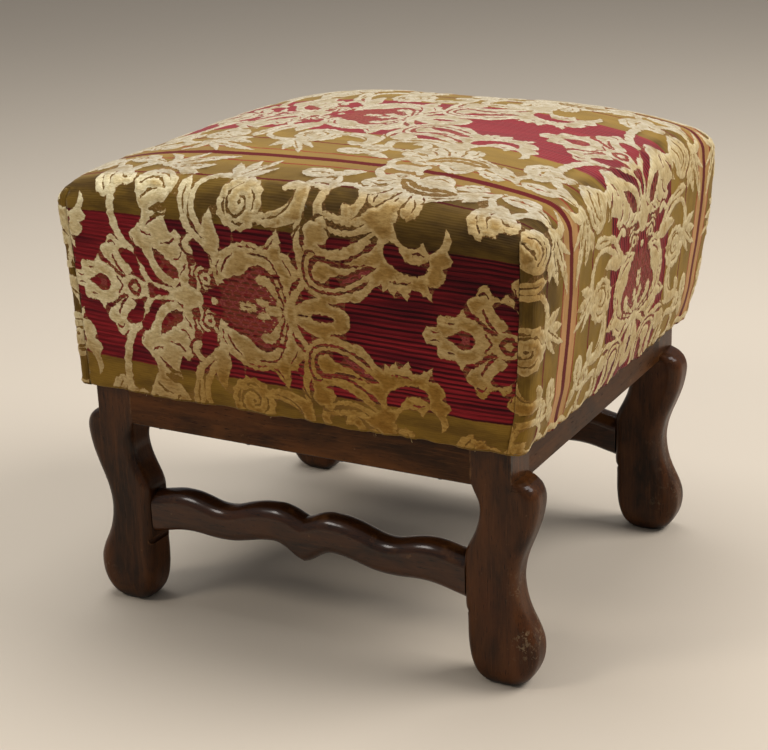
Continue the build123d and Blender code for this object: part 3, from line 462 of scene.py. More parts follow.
def cloth():
    v, f, val, h = half_repeat()
    vs, fs, vals, hs, count = [], [], [], [], 0
    for band in (-1, 0, 1):
        for flip in (1, -1):
            for i in (-1, 0, 1):
                q = np.stack([v[:, 0] * SCALE_A + i * PA * SCALE_A, AXIS + (2 * PB * band + v[:, 1] * flip) * SCALE_B], 1)
                g = f if flip > 0 else f[:, ::-1]
                m = q[g].mean(1)
                ok = (np.abs(m[:, 0]) < BOT_A + 8) & (np.abs(m[:, 1]) < BOT_B + 8) & ((np.abs(m[:, 0]) < EA + 8) | (np.abs(m[:, 1]) < EB + 16))
                if not ok.any():
                    continue
                vs.append(q); hs.append(h); fs.append(g[ok] + count); vals.append(val[ok])
                count += len(q)
    v, f, val, h = np.concatenate(vs), np.concatenate(fs), np.concatenate(vals), np.concatenate(hs)
    v, f, h, ok = weld(v, f, h)
    f, val = f[ok], val[ok]
    # the front ends before the next climbing stem
    ta, tb = v[:, 0] / SCALE_A - PA, np.abs(v[:, 1] - AXIS + 2 * PB * SCALE_B) / SCALE_B
    stem = [(-186, 91), (-186, 88), (-184, 70), (-178, 54), (-176, 49)]
    off = np.zeros(len(v), bool)
    for (x0, y0), (x1, y1) in zip(stem[:-1], stem[1:]):
        t = np.clip(((ta - x0) * (x1 - x0) + (tb - y0) * (y1 - y0)) / ((x1 - x0) ** 2 + (y1 - y0) ** 2), 0, 1)
        off |= np.hypot(ta - x0 - t * (x1 - x0), tb - y0 - t * (y1 - y0)) < 6.6
    off &= v[:, 1] < -EB + 20
    h[off, 0], h[off, 1] = 0.0, -3.0
    val[off[f].sum(1) > 1] = 0
    for nrm, at in (((1, 0), EA), ((1, 0), SEAM_A), ((1, 0), BOT_A), ((0, 1), EB), ((0, 1), SEAM_B), ((0, 1), BOT_B)):
        for sgn in (1, -1):
            v, f, val, h = split(v, f, val, h, nrm, at * sgn)
    ok = in_cut(v[f].mean(1))
    f, val = f[ok], val[ok]
    used, f = np.unique(f, return_inverse=True)
    return v[used], f.reshape(-1, 3), val, h[used]


def across(u, half):
    """cloth coordinate to the sharp box's coordinate, up to the middle of the rounded edge."""
    e = np.abs(u) - (half - R)
    return np.sign(u) * np.where(e <= 0, np.abs(u), half - R + R * np.tan(np.clip(e / R, 0, math.pi / 4)))


def down(u, half, squeeze):
    e = np.abs(u) - (half - R)
    return np.where(e <= ARC, R - R * np.tan(np.clip((ARC - e) / R, 0, math.pi / 4)), R + (e - ARC) / squeeze)


def dome(x, y):
    u, w = np.abs(x / 249.33) ** 3.2, np.abs(y / 228.11) ** 4.34
    return 483.24 - 28.14 * u - 23.53 * w + np.where(x < 0, 19.0, 9.5) * u * w


FLARE_R = ([240, 246, 285, 330, 375, 410, 500], [244.5, 244.5, 253.5, 259, 262.5, 264, 264])
FLARE_L = ([240, 246, 300, 350, 400, 430, 500], [243, 243, 239.5, 237.5, 238.5, 241, 242])
FLARE_B = ([240, 246, 300, 370, 415, 500], [228, 228, 233.5, 238.5, 240, 240])
FLARE_Y = ([240, 246, 300, 370, 415, 500], [221.5, 221.5, 226.5, 231, 232.5, 232.5])


def form(a, b):
    """cloth coordinates to the row frame, in metres: the surface the cloth is pulled over."""
    side = np.where(np.abs(a) > EA - 0.01, 1, np.where(np.abs(b) > EB, 2, 0))
    x = np.where(side == 1, np.sign(a) * HX, across(a, HX))
    y = np.where(side == 2, np.sign(b) * HY, across(b, HY))
    e = np.abs(b) - (HY - R)
    wrap = (side == 1) & (e > ARC / 2)
    x = np.where(wrap, np.sign(a) * (HX - R + R * np.tan(np.clip((ARC - e) / R, 0, math.pi / 4)) - np.maximum(e - ARC, 0)), x)
    y = np.where(wrap, np.sign(b) * HY, y)
    d = np.where(side == 1, down(a, HX, SQ), np.where(side == 2, down(b, HY, 1.0), 0.0))
    c = np.stack([np.clip(x, -HX + R, HX - R), np.clip(y, -HY + R, HY - R), np.maximum(d, R)], 1)
    q = np.stack([x, y, d], 1) - c
    flat = (np.abs(q[:, 0]) ** 6 + np.abs(q[:, 1]) ** 6) ** (1 / 3)
    p = c + R * q / np.maximum(np.sqrt(flat + q[:, 2] ** 2), 1e-9)[:, None]
    x, y, d = p.T
    w = np.clip(1 - d / 75, 0, 1) ** 2
    z = BASE - d + (dome(x, y) - BASE) * w
    tilt = np.clip((d - 15) / 50, 0, 1) * np.clip((DROP - d) / 60, 0, 1)
    on_front = tilt * np.clip(-y / HY, 0, 1) ** 4
    z = z - 0.016 * x * on_front + 3.5 * np.clip(-x / 235, 0, 1) * on_front + 0.03 * (z - 351) * np.clip(x / 235, 0, 1) * on_front
    fx = np.where(x > 0, np.interp(z, *FLARE_R), np.interp(z, *FLARE_L)) / 249.3
    fy = np.where(y > 0, np.interp(z, *FLARE_B), np.interp(z, *FLARE_Y)) / 228.1
    # sides pull in a little between the corners, and sit unevenly
    mid_x, mid_y = 1 - (y / HY) ** 2, 1 - (x / HX) ** 2
    lower = np.clip(d / 60, 0, 1)
    x2 = x * fx + np.sign(x) * (np.abs(x) / HX) ** 6 * lower * (0.9 * np.sin(y / 31.0 + 0.8) * np.sin(d / 37.0) - 1.2 * mid_x * np.sin(np.pi * np.clip(d / DROP, 0, 1)))
    y2 = y * fy + np.sign(y) * (np.abs(y) / HY) ** 6 * lower * (0.8 * np.sin(x / 36.0 + 2.1) * np.sin(d / 41.0) - 1.0 * mid_y * np.sin(np.pi * np.clip(d / DROP, 0, 1)))
    z = z + (1 - lower) * 0.8 * np.sin(x / 43.0 + 1.0) * np.sin(y / 39.0 + 0.4)
    return np.stack([x2, y2, z], 1) * K


def mesh_of(name, verts, faces):
    me = bpy.data.meshes.new(name)
    me.from_pydata([tuple(p) for p in verts], [], [tuple(int(i) for i in f) for f in faces])
    me.update()
    ob = bpy.data.objects.new(name, me)
    bpy.context.scene.collection.objects.link(ob)
    for p in me.polygons:
        p.use_smooth = True
    return ob


def normals(v, f):
    n = np.zeros_like(v)
    fn = np.cross(v[f[:, 1]] - v[f[:, 0]], v[f[:, 2]] - v[f[:, 0]])
    for i in range(3):
        np.add.at(n, f[:, i], fn)
    return n / (np.linalg.norm(n, axis=1)[:, None] + 1e-12)


def shell_grid(step, short):
    """the form on a coarse grid, one welded surface open below: vertices, quads, and each panel's lines and vertex numbers."""
    na, nb = int(2 * SEAM_A / step), int(2 * EB / step)
    la = np.concatenate([[-EA], np.linspace(-SEAM_A, SEAM_A, na + 1), [EA]])
    lb = np.linspace(-EB, EB, nb + 1)
    lbs = np.concatenate([[-SEAM_B], lb, [SEAM_B]])
    es = np.linspace(ARC / 2, ARC, 4)
    ds = np.linspace(R, DROP - short, max(3, int((DROP - R) / step)) + 1)[1:]
    ra = np.concatenate([HX - R + es, HX - R + ARC + (ds - R) * SQ])
    rb = np.concatenate([HY - R + es, HY - R + ARC + (ds - R)])
    lines = [(la, lb)] + [(np.sort(la[1:-1]), np.sort(sg * rb)) for sg in (-1, 1)] + [(np.sort(sg * ra), lbs) for sg in (-1, 1)]
    vs, fs, panels, n = [], [], [], 0
    for u, w in lines:
        gu, gw = np.meshgrid(u, w, indexing="ij")
        vs.append(np.stack([gu.ravel(), gw.ravel()], 1))
        ids = np.arange(gu.size).reshape(gu.shape) + n
        fs.append(np.stack([ids[:-1, :-1], ids[1:, :-1], ids[1:, 1:], ids[:-1, 1:]], -1).reshape(-1, 4))
        panels.append((u, w, ids))
        n += gu.size
    flat_ab = np.concatenate(vs)
    p = form(flat_ab[:, 0], flat_ab[:, 1])
    tree = KDTree(len(p))
    for i, q in enumerate(p):
        tree.insert(q, i)
    tree.balance()
    rep = np.arange(len(p))
    for i, q in enumerate(p):
        if rep[i] == i:
            for _, j, _ in tree.find_range(q, 0.0012):
                if j > i and rep[j] == j:
                    rep[j] = i
    used, inv = np.unique(rep, return_inverse=True)
    inv = inv.ravel()
    quads = inv[np.concatenate(fs)]
    return p[used], quads, [(u, w, inv[ids]) for u, w, ids in panels]


def quad_normals(v, q):
    n = np.zeros_like(v)
    fn = np.cross(v[q[:, 2]] - v[q[:, 0]], v[q[:, 3]] - v[q[:, 1]])
    for i in range(4):
        np.add.at(n, q[:, i], fn)
    return n / (np.linalg.norm(n, axis=1)[:, None] + 1e-12)


def open_edges(q):
    e = np.concatenate([q[:, [i, (i + 1) % 4]] for i in range(4)])
    e = e[e[:, 0] != e[:, 1]]
    k = np.sort(e, axis=1)
    _, i, c = np.unique(k, axis=0, return_index=True, return_counts=True)
    return e[i[c == 1]]


def clean(faces):
    out = []
    for f in faces:
        g = [x for k, x in enumerate(f) if x != f[k - 1]]
        if len(set(g)) == len(g) and len(g) > 2:
            out.append(tuple(g))
    return out


def pulled(cap=0.0028):
    """cloth simulation on the coarse surface: tacked along the hem, sewn at the corners, the springs press from inside."""
    v, q, panels = shell_grid(9.0, 0.0)
    ob = mesh_of("cloth_form", v, clean([tuple(f) for f in q]))
    run = np.where(np.abs(v[:, 0]) > np.abs(v[:, 1]) * HX / HY, v[:, 1], v[:, 0])
    hem = v[:, 2] < v[:, 2].min() + 0.003
    tacked = hem & (np.mod(np.round(run / 0.009), 3) == 0)
    ob.vertex_groups.new(name="tacks").add([int(k) for k in np.nonzero(tacked)[0]], 1.0, "REPLACE")
    mod = ob.modifiers.new("Cloth", "CLOTH")
    c = mod.settings
    c.quality, c.mass, c.air_damping = 6, 0.3, 2.0
    c.tension_stiffness = c.compression_stiffness = 80.0
    c.shear_stiffness, c.bending_stiffness = 16.0, 3.0
    c.use_pressure, c.uniform_pressure_force = True, 0.2
    c.effector_weights.gravity = 0.0
    c.vertex_group_mass = "tacks"
    mod.collision_settings.use_collision = False
    mod.point_cache.frame_start, mod.point_cache.frame_end = 1, 22
    scene = bpy.context.scene
    for k in range(1, 23):
        scene.frame_set(k)
    done = ob.evaluated_get(bpy.context.evaluated_depsgraph_get())
    me = done.to_mesh()
    co = np.empty(len(v) * 3)
    me.vertices.foreach_get("co", co)
    done.to_mesh_clear()
    scene.frame_set(1)
    data = ob.data
    bpy.data.objects.remove(ob)
    bpy.data.meshes.remove(data)
    d = co.reshape(-1, 3) - v
    n = quad_normals(v, q)
    out = (d * n).sum(1)
    slip = d - n * out[:, None]
    far = np.linalg.norm(slip, axis=1)
    slip *= np.minimum(1.0, 0.0015 / np.maximum(far, 1e-9))[:, None]
    return n * np.maximum(cap * np.tanh(out / cap), -0.0008)[:, None] + slip, panels


def carried(ab, d, panels):
    """the coarse surface's shift at cloth coordinates."""
    a, b = ab.T
    which = np.where(np.abs(a) > EA - 0.01, np.where(a < 0, 3, 4), np.where(np.abs(b) > EB, np.where(b < 0, 1, 2), 0))
    out = np.zeros((len(ab), 3))
    for k, (u, w, ids) in enumerate(panels):
        m = which == k
        i = np.clip(np.searchsorted(u, a[m]) - 1, 0, len(u) - 2)
        j = np.clip(np.searchsorted(w, b[m]) - 1, 0, len(w) - 2)
        s = np.clip((a[m] - u[i]) / (u[i + 1] - u[i]), 0, 1)[:, None]
        t = np.clip((b[m] - w[j]) / (w[j + 1] - w[j]), 0, 1)[:, None]
        out[m] = (d[ids[i, j]] * (1 - s) + d[ids[i + 1, j]] * s) * (1 - t) + (d[ids[i, j + 1]] * (1 - s) + d[ids[i + 1, j + 1]] * s) * t
    return out


PILE = 0.0011              # height of the cut pile
ab, tri, val, info = cloth()
hgt, dist, kind = info.T
base = form(ab[:, 0], ab[:, 1]) + carried(ab, *pulled())
nrm = normals(base, tri)
if (nrm[:, 2] * (np.abs(ab[:, 0]) < 100) * (np.abs(ab[:, 1]) < 100)).sum() < 0:
    tri, nrm = tri[:, ::-1], -nrm

# the sewn corners: the cloth dips towards the stitching
gap = np.minimum(np.where(np.abs(ab[:, 1]) > EB, np.abs(SEAM_A - np.abs(ab[:, 0])), 99.0),
                 np.where(np.abs(ab[:, 0]) > EA, np.abs(SEAM_B - np.abs(ab[:, 1])), 99.0))
along = np.where(np.abs(ab[:, 1]) > EB, ab[:, 1], ab[:, 0])
dip = np.exp(-(gap / 2.6) ** 2) * 0.0009 + np.exp(-(gap / 11.0) ** 2) * 0.0004 * (0.6 + 0.4 * np.sin(along / 2.9))
# the tacked hem: small puckers
lowd = np.minimum(np.where(np.abs(ab[:, 1]) > EB, BOT_B - np.abs(ab[:, 1]), 99.0), np.where(np.abs(ab[:, 0]) > EA, BOT_A - np.abs(ab[:, 0]), 99.0))
run = np.where(np.abs(ab[:, 1]) > EB, ab[:, 0], ab[:, 1])
away = np.clip(gap / 16.0, 0, 1)
puck = away * np.exp(-np.clip(lowd, 0, 99) / 9.0) * (0.0009 * np.sin(run / 5.1 + 1.3 * np.sin(run / 23.0)) - 0.0006)
pos = base + nrm * (hgt * PILE - dip + puck)[:, None]
pos[:, 2] += away * np.exp(-np.clip(lowd, 0, 99) / 6.0) * 0.0008 * np.sin(run / 17.0 + 0.7 * np.sin(run / 41.0))

# turned hem and seam allowances, grown from the open edges
key = np.sort(np.concatenate([tri[:, [0, 1]], tri[:, [1, 2]], tri[:, [2, 0]]]), axis=1)
direct = np.concatenate([tri[:, [0, 1]], tri[:, [1, 2]], tri[:, [2, 0]]])
_, idx, cnt = np.unique(key, axis=0, return_index=True, return_counts=True)
rim = direct[idx[cnt == 1]]
is_hem = (lowd[rim] < 0.02).all(1)
verts, uv, cl, hh = [pos], [ab], [ab], [np.stack([dist, kind], 1)]
faces = [tuple(t) for t in tri]
fval = list(val)
total = len(pos)


def grow(edges, rows):
    """rows: functions from the open edge's vertex numbers to new places and cloth coordinates."""
    global total
    ids = np.unique(edges)
    last = {int(i): int(i) for i in ids}
    for place, cloth_at in rows:
        p, c = place(ids), cloth_at(ids)
        verts.append(p); cl.append(c); uv.append(c); hh.append(np.tile((-6.0, 1.0), (len(ids), 1)))
        now = {int(i): total + j for j, i in enumerate(ids)}
        for i, j in edges:
            faces.append((last[int(j)], last[int(i)], now[int(i)], now[int(j)]))
            fval.append(0.0)
        total += len(ids)
        last = now


def outward(i, u):
    c = ab[i].copy()
    front = np.abs(c[:, 1]) > EB
    c[front, 1] += np.sign(c[front, 1]) * u
    c[~front, 0] += np.sign(c[~front, 0]) * u
    return c


def hem(inset, lift):
    def place(i):
        p = pos[i].copy()
        w = np.array([230.6, 210.6]) * K
        q = np.clip(p[:, :2], -w, w)
        p[:, :2] += (q - p[:, :2]) * inset
        p[:, 2] += lift
        return p
    return place


grow(rim[is_hem], [(hem(0.10, -0.0022), lambda i: outward(i, 2.5)), (hem(0.38, -0.0036), lambda i: outward(i, 5)),
                   (hem(0.74, -0.0026), lambda i: outward(i, 9)), (hem(1.0, 0.0006), lambda i: outward(i, 13))])


def seam_out(i, u):
    c = ab[i].copy()
    front = np.abs(c[:, 1]) > EB - 1e-3
    c[front, 0] += np.sign(c[front, 0]) * u
    c[~front, 1] += np.sign(c[~front, 1]) * u
    return c


grow(rim[~is_hem], [(lambda i: pos[i] - nrm[i] * 0.0035, lambda i: seam_out(i, 3.5))])
verts, cl, uv, hh = np.concatenate(verts), np.concatenate(cl), np.concatenate(uv), np.concatenate(hh)
cover = mesh_of("cut_velvet_cover", verts, faces)
me = cover.data
at = me.attributes.new("cloth", "FLOAT_VECTOR", "POINT")
at.data.foreach_set("vector", np.column_stack([cl, hh[:, 0]]).astype(np.float32).ravel())
at = me.attributes.new("kind", "FLOAT", "POINT")
at.data.foreach_set("value", hh[:, 1].astype(np.float32))
at = me.attributes.new("pile", "FLOAT", "FACE")
at.data.foreach_set("value", np.array(fval, np.float32))
bake = me.uv_layers.new(name="OFBake")
loops = np.zeros(len(me.loops), np.int32)
me.loops.foreach_get("vertex_index", loops)
bake.data.foreach_set("uv", (uv[loops] / 1010.0 + 0.5).astype(np.float32).ravel())


# ------------------------------------------------------------------ materials
class Tree:
    """short hand for building a node material."""

    def __init__(self, name):
        self.mat = bpy.data.materials.new(name)
        self.mat.use_nodes = True
        self.t = self.mat.node_tree
        self.t.nodes.clear()
        self.out = self.t.nodes.new("ShaderNodeOutputMaterial")
        self.bsdf = self.t.nodes.new("ShaderNodeBsdfPrincipled")
        self.t.links.new(self.bsdf.outputs[0], self.out.inputs[0])

    def put(self, sock, value):
        if isinstance(value, bpy.types.NodeSocket):
            self.t.links.new(value, sock)
        elif value is not None:
            if hasattr(sock.default_value, "__len__") and not hasattr(value, "__len__"):
                value = (value,) * len(sock.default_value)
            if hasattr(value, "__len__") and len(value) == 3 and len(sock.default_value) == 4:
                value = (*value, 1.0)
            sock.default_value = value

    def set(self, **kw):
        for k, v in kw.items():
            self.put(self.bsdf.inputs[k.replace("_", " ")], v)
        return self

    def attr(self, name, out):
        n = self.t.nodes.new("ShaderNodeAttribute")
        n.attribute_name = name
        return n.outputs[out]

    def math(self, op, a, b=None, c=None, clamp=False):
        n = self.t.nodes.new("ShaderNodeMath")
        n.operation, n.use_clamp = op, clamp
        for s, v in zip(n.inputs, (a, b, c)):
            self.put(s, v)
        return n.outputs[0]

    def vmath(self, op, a, b=None, out=0):
        n = self.t.nodes.new("ShaderNodeVectorMath")
        n.operation = op
        self.put(n.inputs[0], a)
        if b is not None:
            self.put(n.inputs[1], b)
        return n.outputs[out]

    def xyz(self, v):
        n = self.t.nodes.new("ShaderNodeSeparateXYZ")
        self.put(n.inputs[0], v)
        return n.outputs

    def join(self, x, y, z=0.0):
        n = self.t.nodes.new("ShaderNodeCombineXYZ")
        for s, v in zip(n.inputs, (x, y, z)):
            self.put(s, v)
        return n.outputs[0]

    def coord(self, which="Object"):
        return self.t.nodes.new("ShaderNodeTexCoord").outputs[which]

    def mapping(self, v, loc=(0, 0, 0), rot=(0, 0, 0), scale=(1, 1, 1)):
        n = self.t.nodes.new("ShaderNodeMapping")
        self.put(n.inputs[0], v)
        n.inputs[1].default_value, n.inputs[2].default_value, n.inputs[3].default_value = loc, rot, scale
        return n.outputs[0]

    def noise(self, v, scale, detail=3.0, rough=0.5, dist=0.0, dims="3D"):
        n = self.t.nodes.new("ShaderNodeTexNoise")
        n.noise_dimensions = dims
        self.put(n.inputs["Vector"], v)
        n.inputs["Scale"].default_value, n.inputs["Detail"].default_value = scale, detail
        n.inputs["Roughness"].default_value, n.inputs["Distortion"].default_value = rough, dist
        return n.outputs[0]

    def voronoi(self, v, scale, feature="F1", out=0, rnd=1.0):
        n = self.t.nodes.new("ShaderNodeTexVoronoi")
        n.feature = feature
        self.put(n.inputs["Vector"], v)
        n.inputs["Scale"].default_value, n.inputs["Randomness"].default_value = scale, rnd
        return n.outputs[out]

    def ramp(self, v, *stops):
        n = self.t.nodes.new("ShaderNodeValToRGB")
        self.put(n.inputs[0], v)
        el = n.color_ramp.elements
        while len(el) < len(stops):
            el.new(0.5)
        for e, (p, c) in zip(el, stops):
            e.position = p
            e.color = (*c, 1.0) if hasattr(c, "__len__") else (c, c, c, 1.0)
        return n.outputs[0]

    def step(self, v, lo, hi):
        n = self.t.nodes.new("ShaderNodeMapRange")
        n.interpolation_type = "SMOOTHSTEP"
        self.put(n.inputs[0], v)
        n.inputs[1].default_value, n.inputs[2].default_value = lo, hi
        return n.outputs[0]

    def mix(self, fac, a, b, mode="MIX"):
        n = self.t.nodes.new("ShaderNodeMix")
        n.data_type, n.blend_type = "RGBA", mode
        ins = [s for s in n.inputs if s.enabled]
        self.put(ins[0], fac)
        self.put(ins[1], a)
        self.put(ins[2], b)
        return [s for s in n.outputs if s.enabled][0]

    def bump(self, height, strength, distance, normal=None):
        n = self.t.nodes.new("ShaderNodeBump")
        n.inputs["Strength"].default_value, n.inputs["Distance"].default_value = strength, distance
        self.put(n.inputs["Height"], height)
        if normal is not None:
            self.put(n.inputs["Normal"], normal)
        return n.outputs[0]


def velvet():
    m = Tree("cut_velvet")
    a, b, d = m.xyz(m.attr("cloth", "Vector"))
    kind = m.attr("kind", "Fac")
    px, py, pz = m.xyz(m.coord())
    flat = m.join(a, b)
    geo = m.t.nodes.new("ShaderNodeNewGeometry")
    nx, _, nz = m.xyz(geo.outputs["Normal"])

    def n(sx, sy, detail=2.0, rough=0.5, dist=0.0):
        return m.noise(m.vmath("MULTIPLY", flat, (sx, sy, 0)), 1.0, detail, rough, dist)

    def about(v, amount):
        return m.math("MULTIPLY", m.math("SUBTRACT", v, 0.5), amount)

    def mul(*v):
        out = v[0]
        for q in v[1:]:
            out = m.math("MULTIPLY", out, q)
        return out

    def tint(fac, c, k):
        return m.mix(fac, c, m.mix(1.0, c, k, "MULTIPLY"))

    # pale to the left and old gold low down and to the right: partly the cloth's fading, partly painted light and shade
    # across the front; pale on the top: painted sheen
    face = m.step(py, -0.196, -0.212)
    low = m.step(pz, 0.312, 0.250)
    high = m.step(pz, 0.385, 0.425)
    to_right = m.step(px, -0.20, 0.07)
    sheen_facing_up = m.step(nz, 0.55, 0.92)
    bb = m.math("ADD", m.math("SUBTRACT", b, AXIS), about(n(0.018, 0.018), 4.0))
    across_b = m.math("PINGPONG", bb, HALF)
    bf = m.math("ADD", across_b, about(n(0.5, 0.5), 1.6))
    streak = n(0.030, 0.85, 4, 0.65)
    # crimson ground: ribs along the band, dark between them, uneven from rib to rib
    rib = m.math("PINGPONG", m.math("ADD", bb, about(n(0.012, 0.3), 1.8)), 2.35)
    line = m.step(rib, 0.80, 1.55)
    per_line = n(0.0040, 0.21, 2, 0.7)
    broad = n(0.0060, 0.042, 2, 0.6)
    dark = mul(line, m.math("ADD", 0.30, mul(m.step(per_line, 0.34, 0.58), 0.58)), m.math("ADD", 0.52, mul(to_right, 0.48)))
    crim = m.mix(m.step(streak, 0.28, 0.78), (0.165, 0.0065, 0.0100), (0.320, 0.0190, 0.0250))
    crim = m.mix(mul(m.step(broad, 0.47, 0.66), 0.66), crim, (0.060, 0.0024, 0.0075))
    crim = m.mix(dark, crim, (0.013, 0.0009, 0.0020))
    # painted sheen: the crimson turns pink where it faces up
    crim = m.mix(mul(m.step(nz, 0.62, 0.975), 0.46), crim, (0.310, 0.0440, 0.0500))
    # olive ground
    fine = m.math("PINGPONG", bb, 1.15)
    blot = n(0.012, 0.040, 4, 0.62)
    olive = m.mix(m.step(blot, 0.34, 0.68), (0.080, 0.042, 0.0075), (0.240, 0.138, 0.020))
    olive = m.mix(mul(low, 0.30), olive, (0.235, 0.125, 0.016))
    # painted sheen: the olive lighter where it faces up
    olive = m.mix(mul(m.step(nz, 0.86, 0.985), 0.60), olive, (0.300, 0.182, 0.044))
    # painted light: the olive lighter on the right side, which faces the key lamp
    olive = m.mix(mul(m.step(nx, 0.60, 0.92), m.step(py, -0.205, -0.150), 0.55), olive, (0.285, 0.172, 0.030))
    olive = m.mix(mul(m.step(fine, 0.55, 1.05), 0.16), olive, (0.06, 0.032, 0.006))
    olive = m.mix(mul(m.step(streak, 0.55, 0.9), 0.18), olive, (0.33, 0.20, 0.045))
    ground = m.mix(m.step(bf, 75.6, 76.8), crim, olive)
    # stripe group in the middle of the olive
    ds = m.math("ABSOLUTE", m.math("SUBTRACT", bf, HALF))
    peach = m.mix(m.step(streak, 0.2, 0.85), (0.34, 0.175, 0.062), (0.58, 0.310, 0.125))
    peach = m.mix(mul(m.step(blot, 0.40, 0.62), 0.50), peach, (0.25, 0.150, 0.030))
    # painted shade: the peach stripe dulled to olive along the top
    peach = m.mix(mul(m.step(pz, 0.418, 0.442), 0.88), peach, olive)
    ground = m.mix(m.step(ds, 18.4, 17.8), ground, (0.24, 0.036, 0.016))
    ground = m.mix(m.step(ds, 16.2, 15.6), ground, peach)
    red = m.mix(mul(m.step(fine, 0.5, 1.0), 0.6), (0.115, 0.005, 0.005), (0.05, 0.003, 0.003))
    ground = m.mix(m.step(ds, 4.2, 3.6), ground, red)
    ground = m.mix(mul(m.step(ds, 48.2, 49.0), m.step(ds, 51.6, 50.8)), ground, (0.130, 0.011, 0.008))
    # the ground is darkest under the front edge, towards the right
    edge = mul(m.step(py, -0.150, -0.200), m.step(pz, 0.300, 0.400))
    ground = tint(mul(edge, m.math("ADD", 0.18, mul(m.step(px, -0.16, 0.20), 0.62))), ground, (0.30, 0.27, 0.29))
    # pile: ragged edge, old gold at the rim and cream on the crown, partly the pile's own colours and partly painted
    # shade at the rim and a painted highlight on the crown of the raised pile; crushed and worn in places
    loose = m.math("ADD", 0.10, mul(m.step(kind, 0.72, 0.88), 0.90))
    inside = mul(m.math("SUBTRACT", m.step(m.attr("pile", "Fac"), 0.25, 0.35), 0.5), 1.3)
    jag = m.math("ADD", about(n(0.26, 0.60, 2, 0.6), 3.6), about(n(0.95, 0.95, 2, 0.6), 2.0))
    dn = m.math("ADD", m.math("ADD", d, inside), mul(loose, jag))
    mask = m.step(dn, -0.55, 0.45)
    tuft = n(0.40, 1.00, 3, 0.65)
    clump = n(0.15, 0.42, 2, 0.6)
    crush = n(0.050, 0.080, 4, 0.62, 0.6)
    age = n(0.008, 0.011, 3, 0.55)
    crown = m.step(m.math("ADD", dn, about(crush, 5.0)), 1.2, 4.6)
    # the cloth's fading together with painted shade, most low down and to the right on the front
    fade_and_shade = m.math("ADD", m.math("ADD", 0.04, mul(to_right, 0.78)), m.math("SUBTRACT", mul(low, 0.62), mul(high, 0.18)))
    fade_and_shade = m.math("ADD", fade_and_shade, about(age, 0.5), clamp=True)
    front_c = m.mix(fade_and_shade, (0.700, 0.590, 0.345), (0.350, 0.200, 0.047))
    side_c = m.mix(mul(m.step(age, 0.3, 0.75), 0.55), (0.555, 0.450, 0.250), (0.490, 0.340, 0.140))
    # painted sheen: a paler, greyer cream on the pile where it faces up
    top_c = m.mix(mul(sheen_facing_up, 0.85), side_c, (0.425, 0.362, 0.258))
    top_c = m.mix(face, top_c, front_c)
    # painted shade off the crown, darkest on the front towards the right
    deep = tint(m.math("ADD", 0.30, mul(face, to_right, 0.60)), top_c, (0.70, 0.60, 0.40))
    pile_c = m.mix(crown, m.mix(1.0, top_c, (1.06, 1.08, 1.12), "MULTIPLY"), deep)
    # painted shade: a darker gold rim at the edge of the raised pile
    pile_c = m.mix(m.step(dn, 0.9, 0.0), pile_c, m.mix(1.0, top_c, (0.74, 0.60, 0.38), "MULTIPLY"))
    pile_c = tint(mul(m.step(crush, 0.48, 0.72), 0.75), pile_c, (0.66, 0.55, 0.36))
    pile_c = tint(mul(m.step(clump, 0.50, 0.72), 0.80), pile_c, (1.28, 1.31, 1.40))
    pile_c = tint(mul(m.step(clump, 0.50, 0.30), 0.55), pile_c, (0.62, 0.54, 0.42))
    pile_c = tint(mul(m.step(tuft, 0.52, 0.80), 0.80), pile_c, (1.24, 1.27, 1.34))
    pile_c = tint(mul(m.step(tuft, 0.48, 0.22), 0.60), pile_c, (0.50, 0.42, 0.30))
    short = m.mix(m.step(tuft, 0.30, 0.75), (0.155, 0.012, 0.018), (0.330, 0.085, 0.062))
    pile_c = m.mix(m.step(kind, 0.72, 0.88), short, pile_c)
    ground = m.mix(mul(m.step(dn, -1.5, 0.0), 0.46), ground, (0.235, 0.105, 0.036))
    col = m.mix(mask, ground, pile_c)
    weave = m.math("ADD", mul(line, m.step(bf, 76.8, 75.6), -0.45), mul(fine, 0.25))
    nap = m.math("ADD", mul(crown, 0.6), m.math("ADD", mul(tuft, 0.8), m.math("ADD", mul(clump, 0.6), mul(crush, 1.4))))
    m.set(Base_Color=col, Roughness=0.88, Sheen_Weight=0.18, Sheen_Roughness=0.30, Sheen_Tint=(1.0, 0.90, 0.76),
          Specular_IOR_Level=0.14, Normal=m.bump(m.mix(mask, weave, nap), 0.62, 0.0008))
    return m.mat


cover.data.materials.append(velvet())
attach(cover, "root")
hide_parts("seat_cover")


# ------------------------------------------------------------------ the padding under the cover
def pad_layer(name, outer, inner, short, lumps):
    v, q, _ = shell_grid(13.0, short)
    n = quad_normals(v, q)
    lump = lumps * (np.sin(v[:, 0] * 61 + 1) * np.sin(v[:, 1] * 57 + 2) * np.sin(v[:, 2] * 49))[:, None]
    o, i = v - n * (outer + lump), v - n * inner
    m = len(v)
    rim_e = open_edges(q)
    fs = [tuple(f) for f in q] + [tuple(f[::-1] + m) for f in q] + [(b_, a_, a_ + m, b_ + m) for a_, b_ in rim_e]
    return mesh_of(name, np.concatenate([o, i]), clean(fs))


wadding = pad_layer("cotton_wadding", 0.0030, 0.0082, 10.0, 0.0003)
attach(wadding, "root")
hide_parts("wadding")

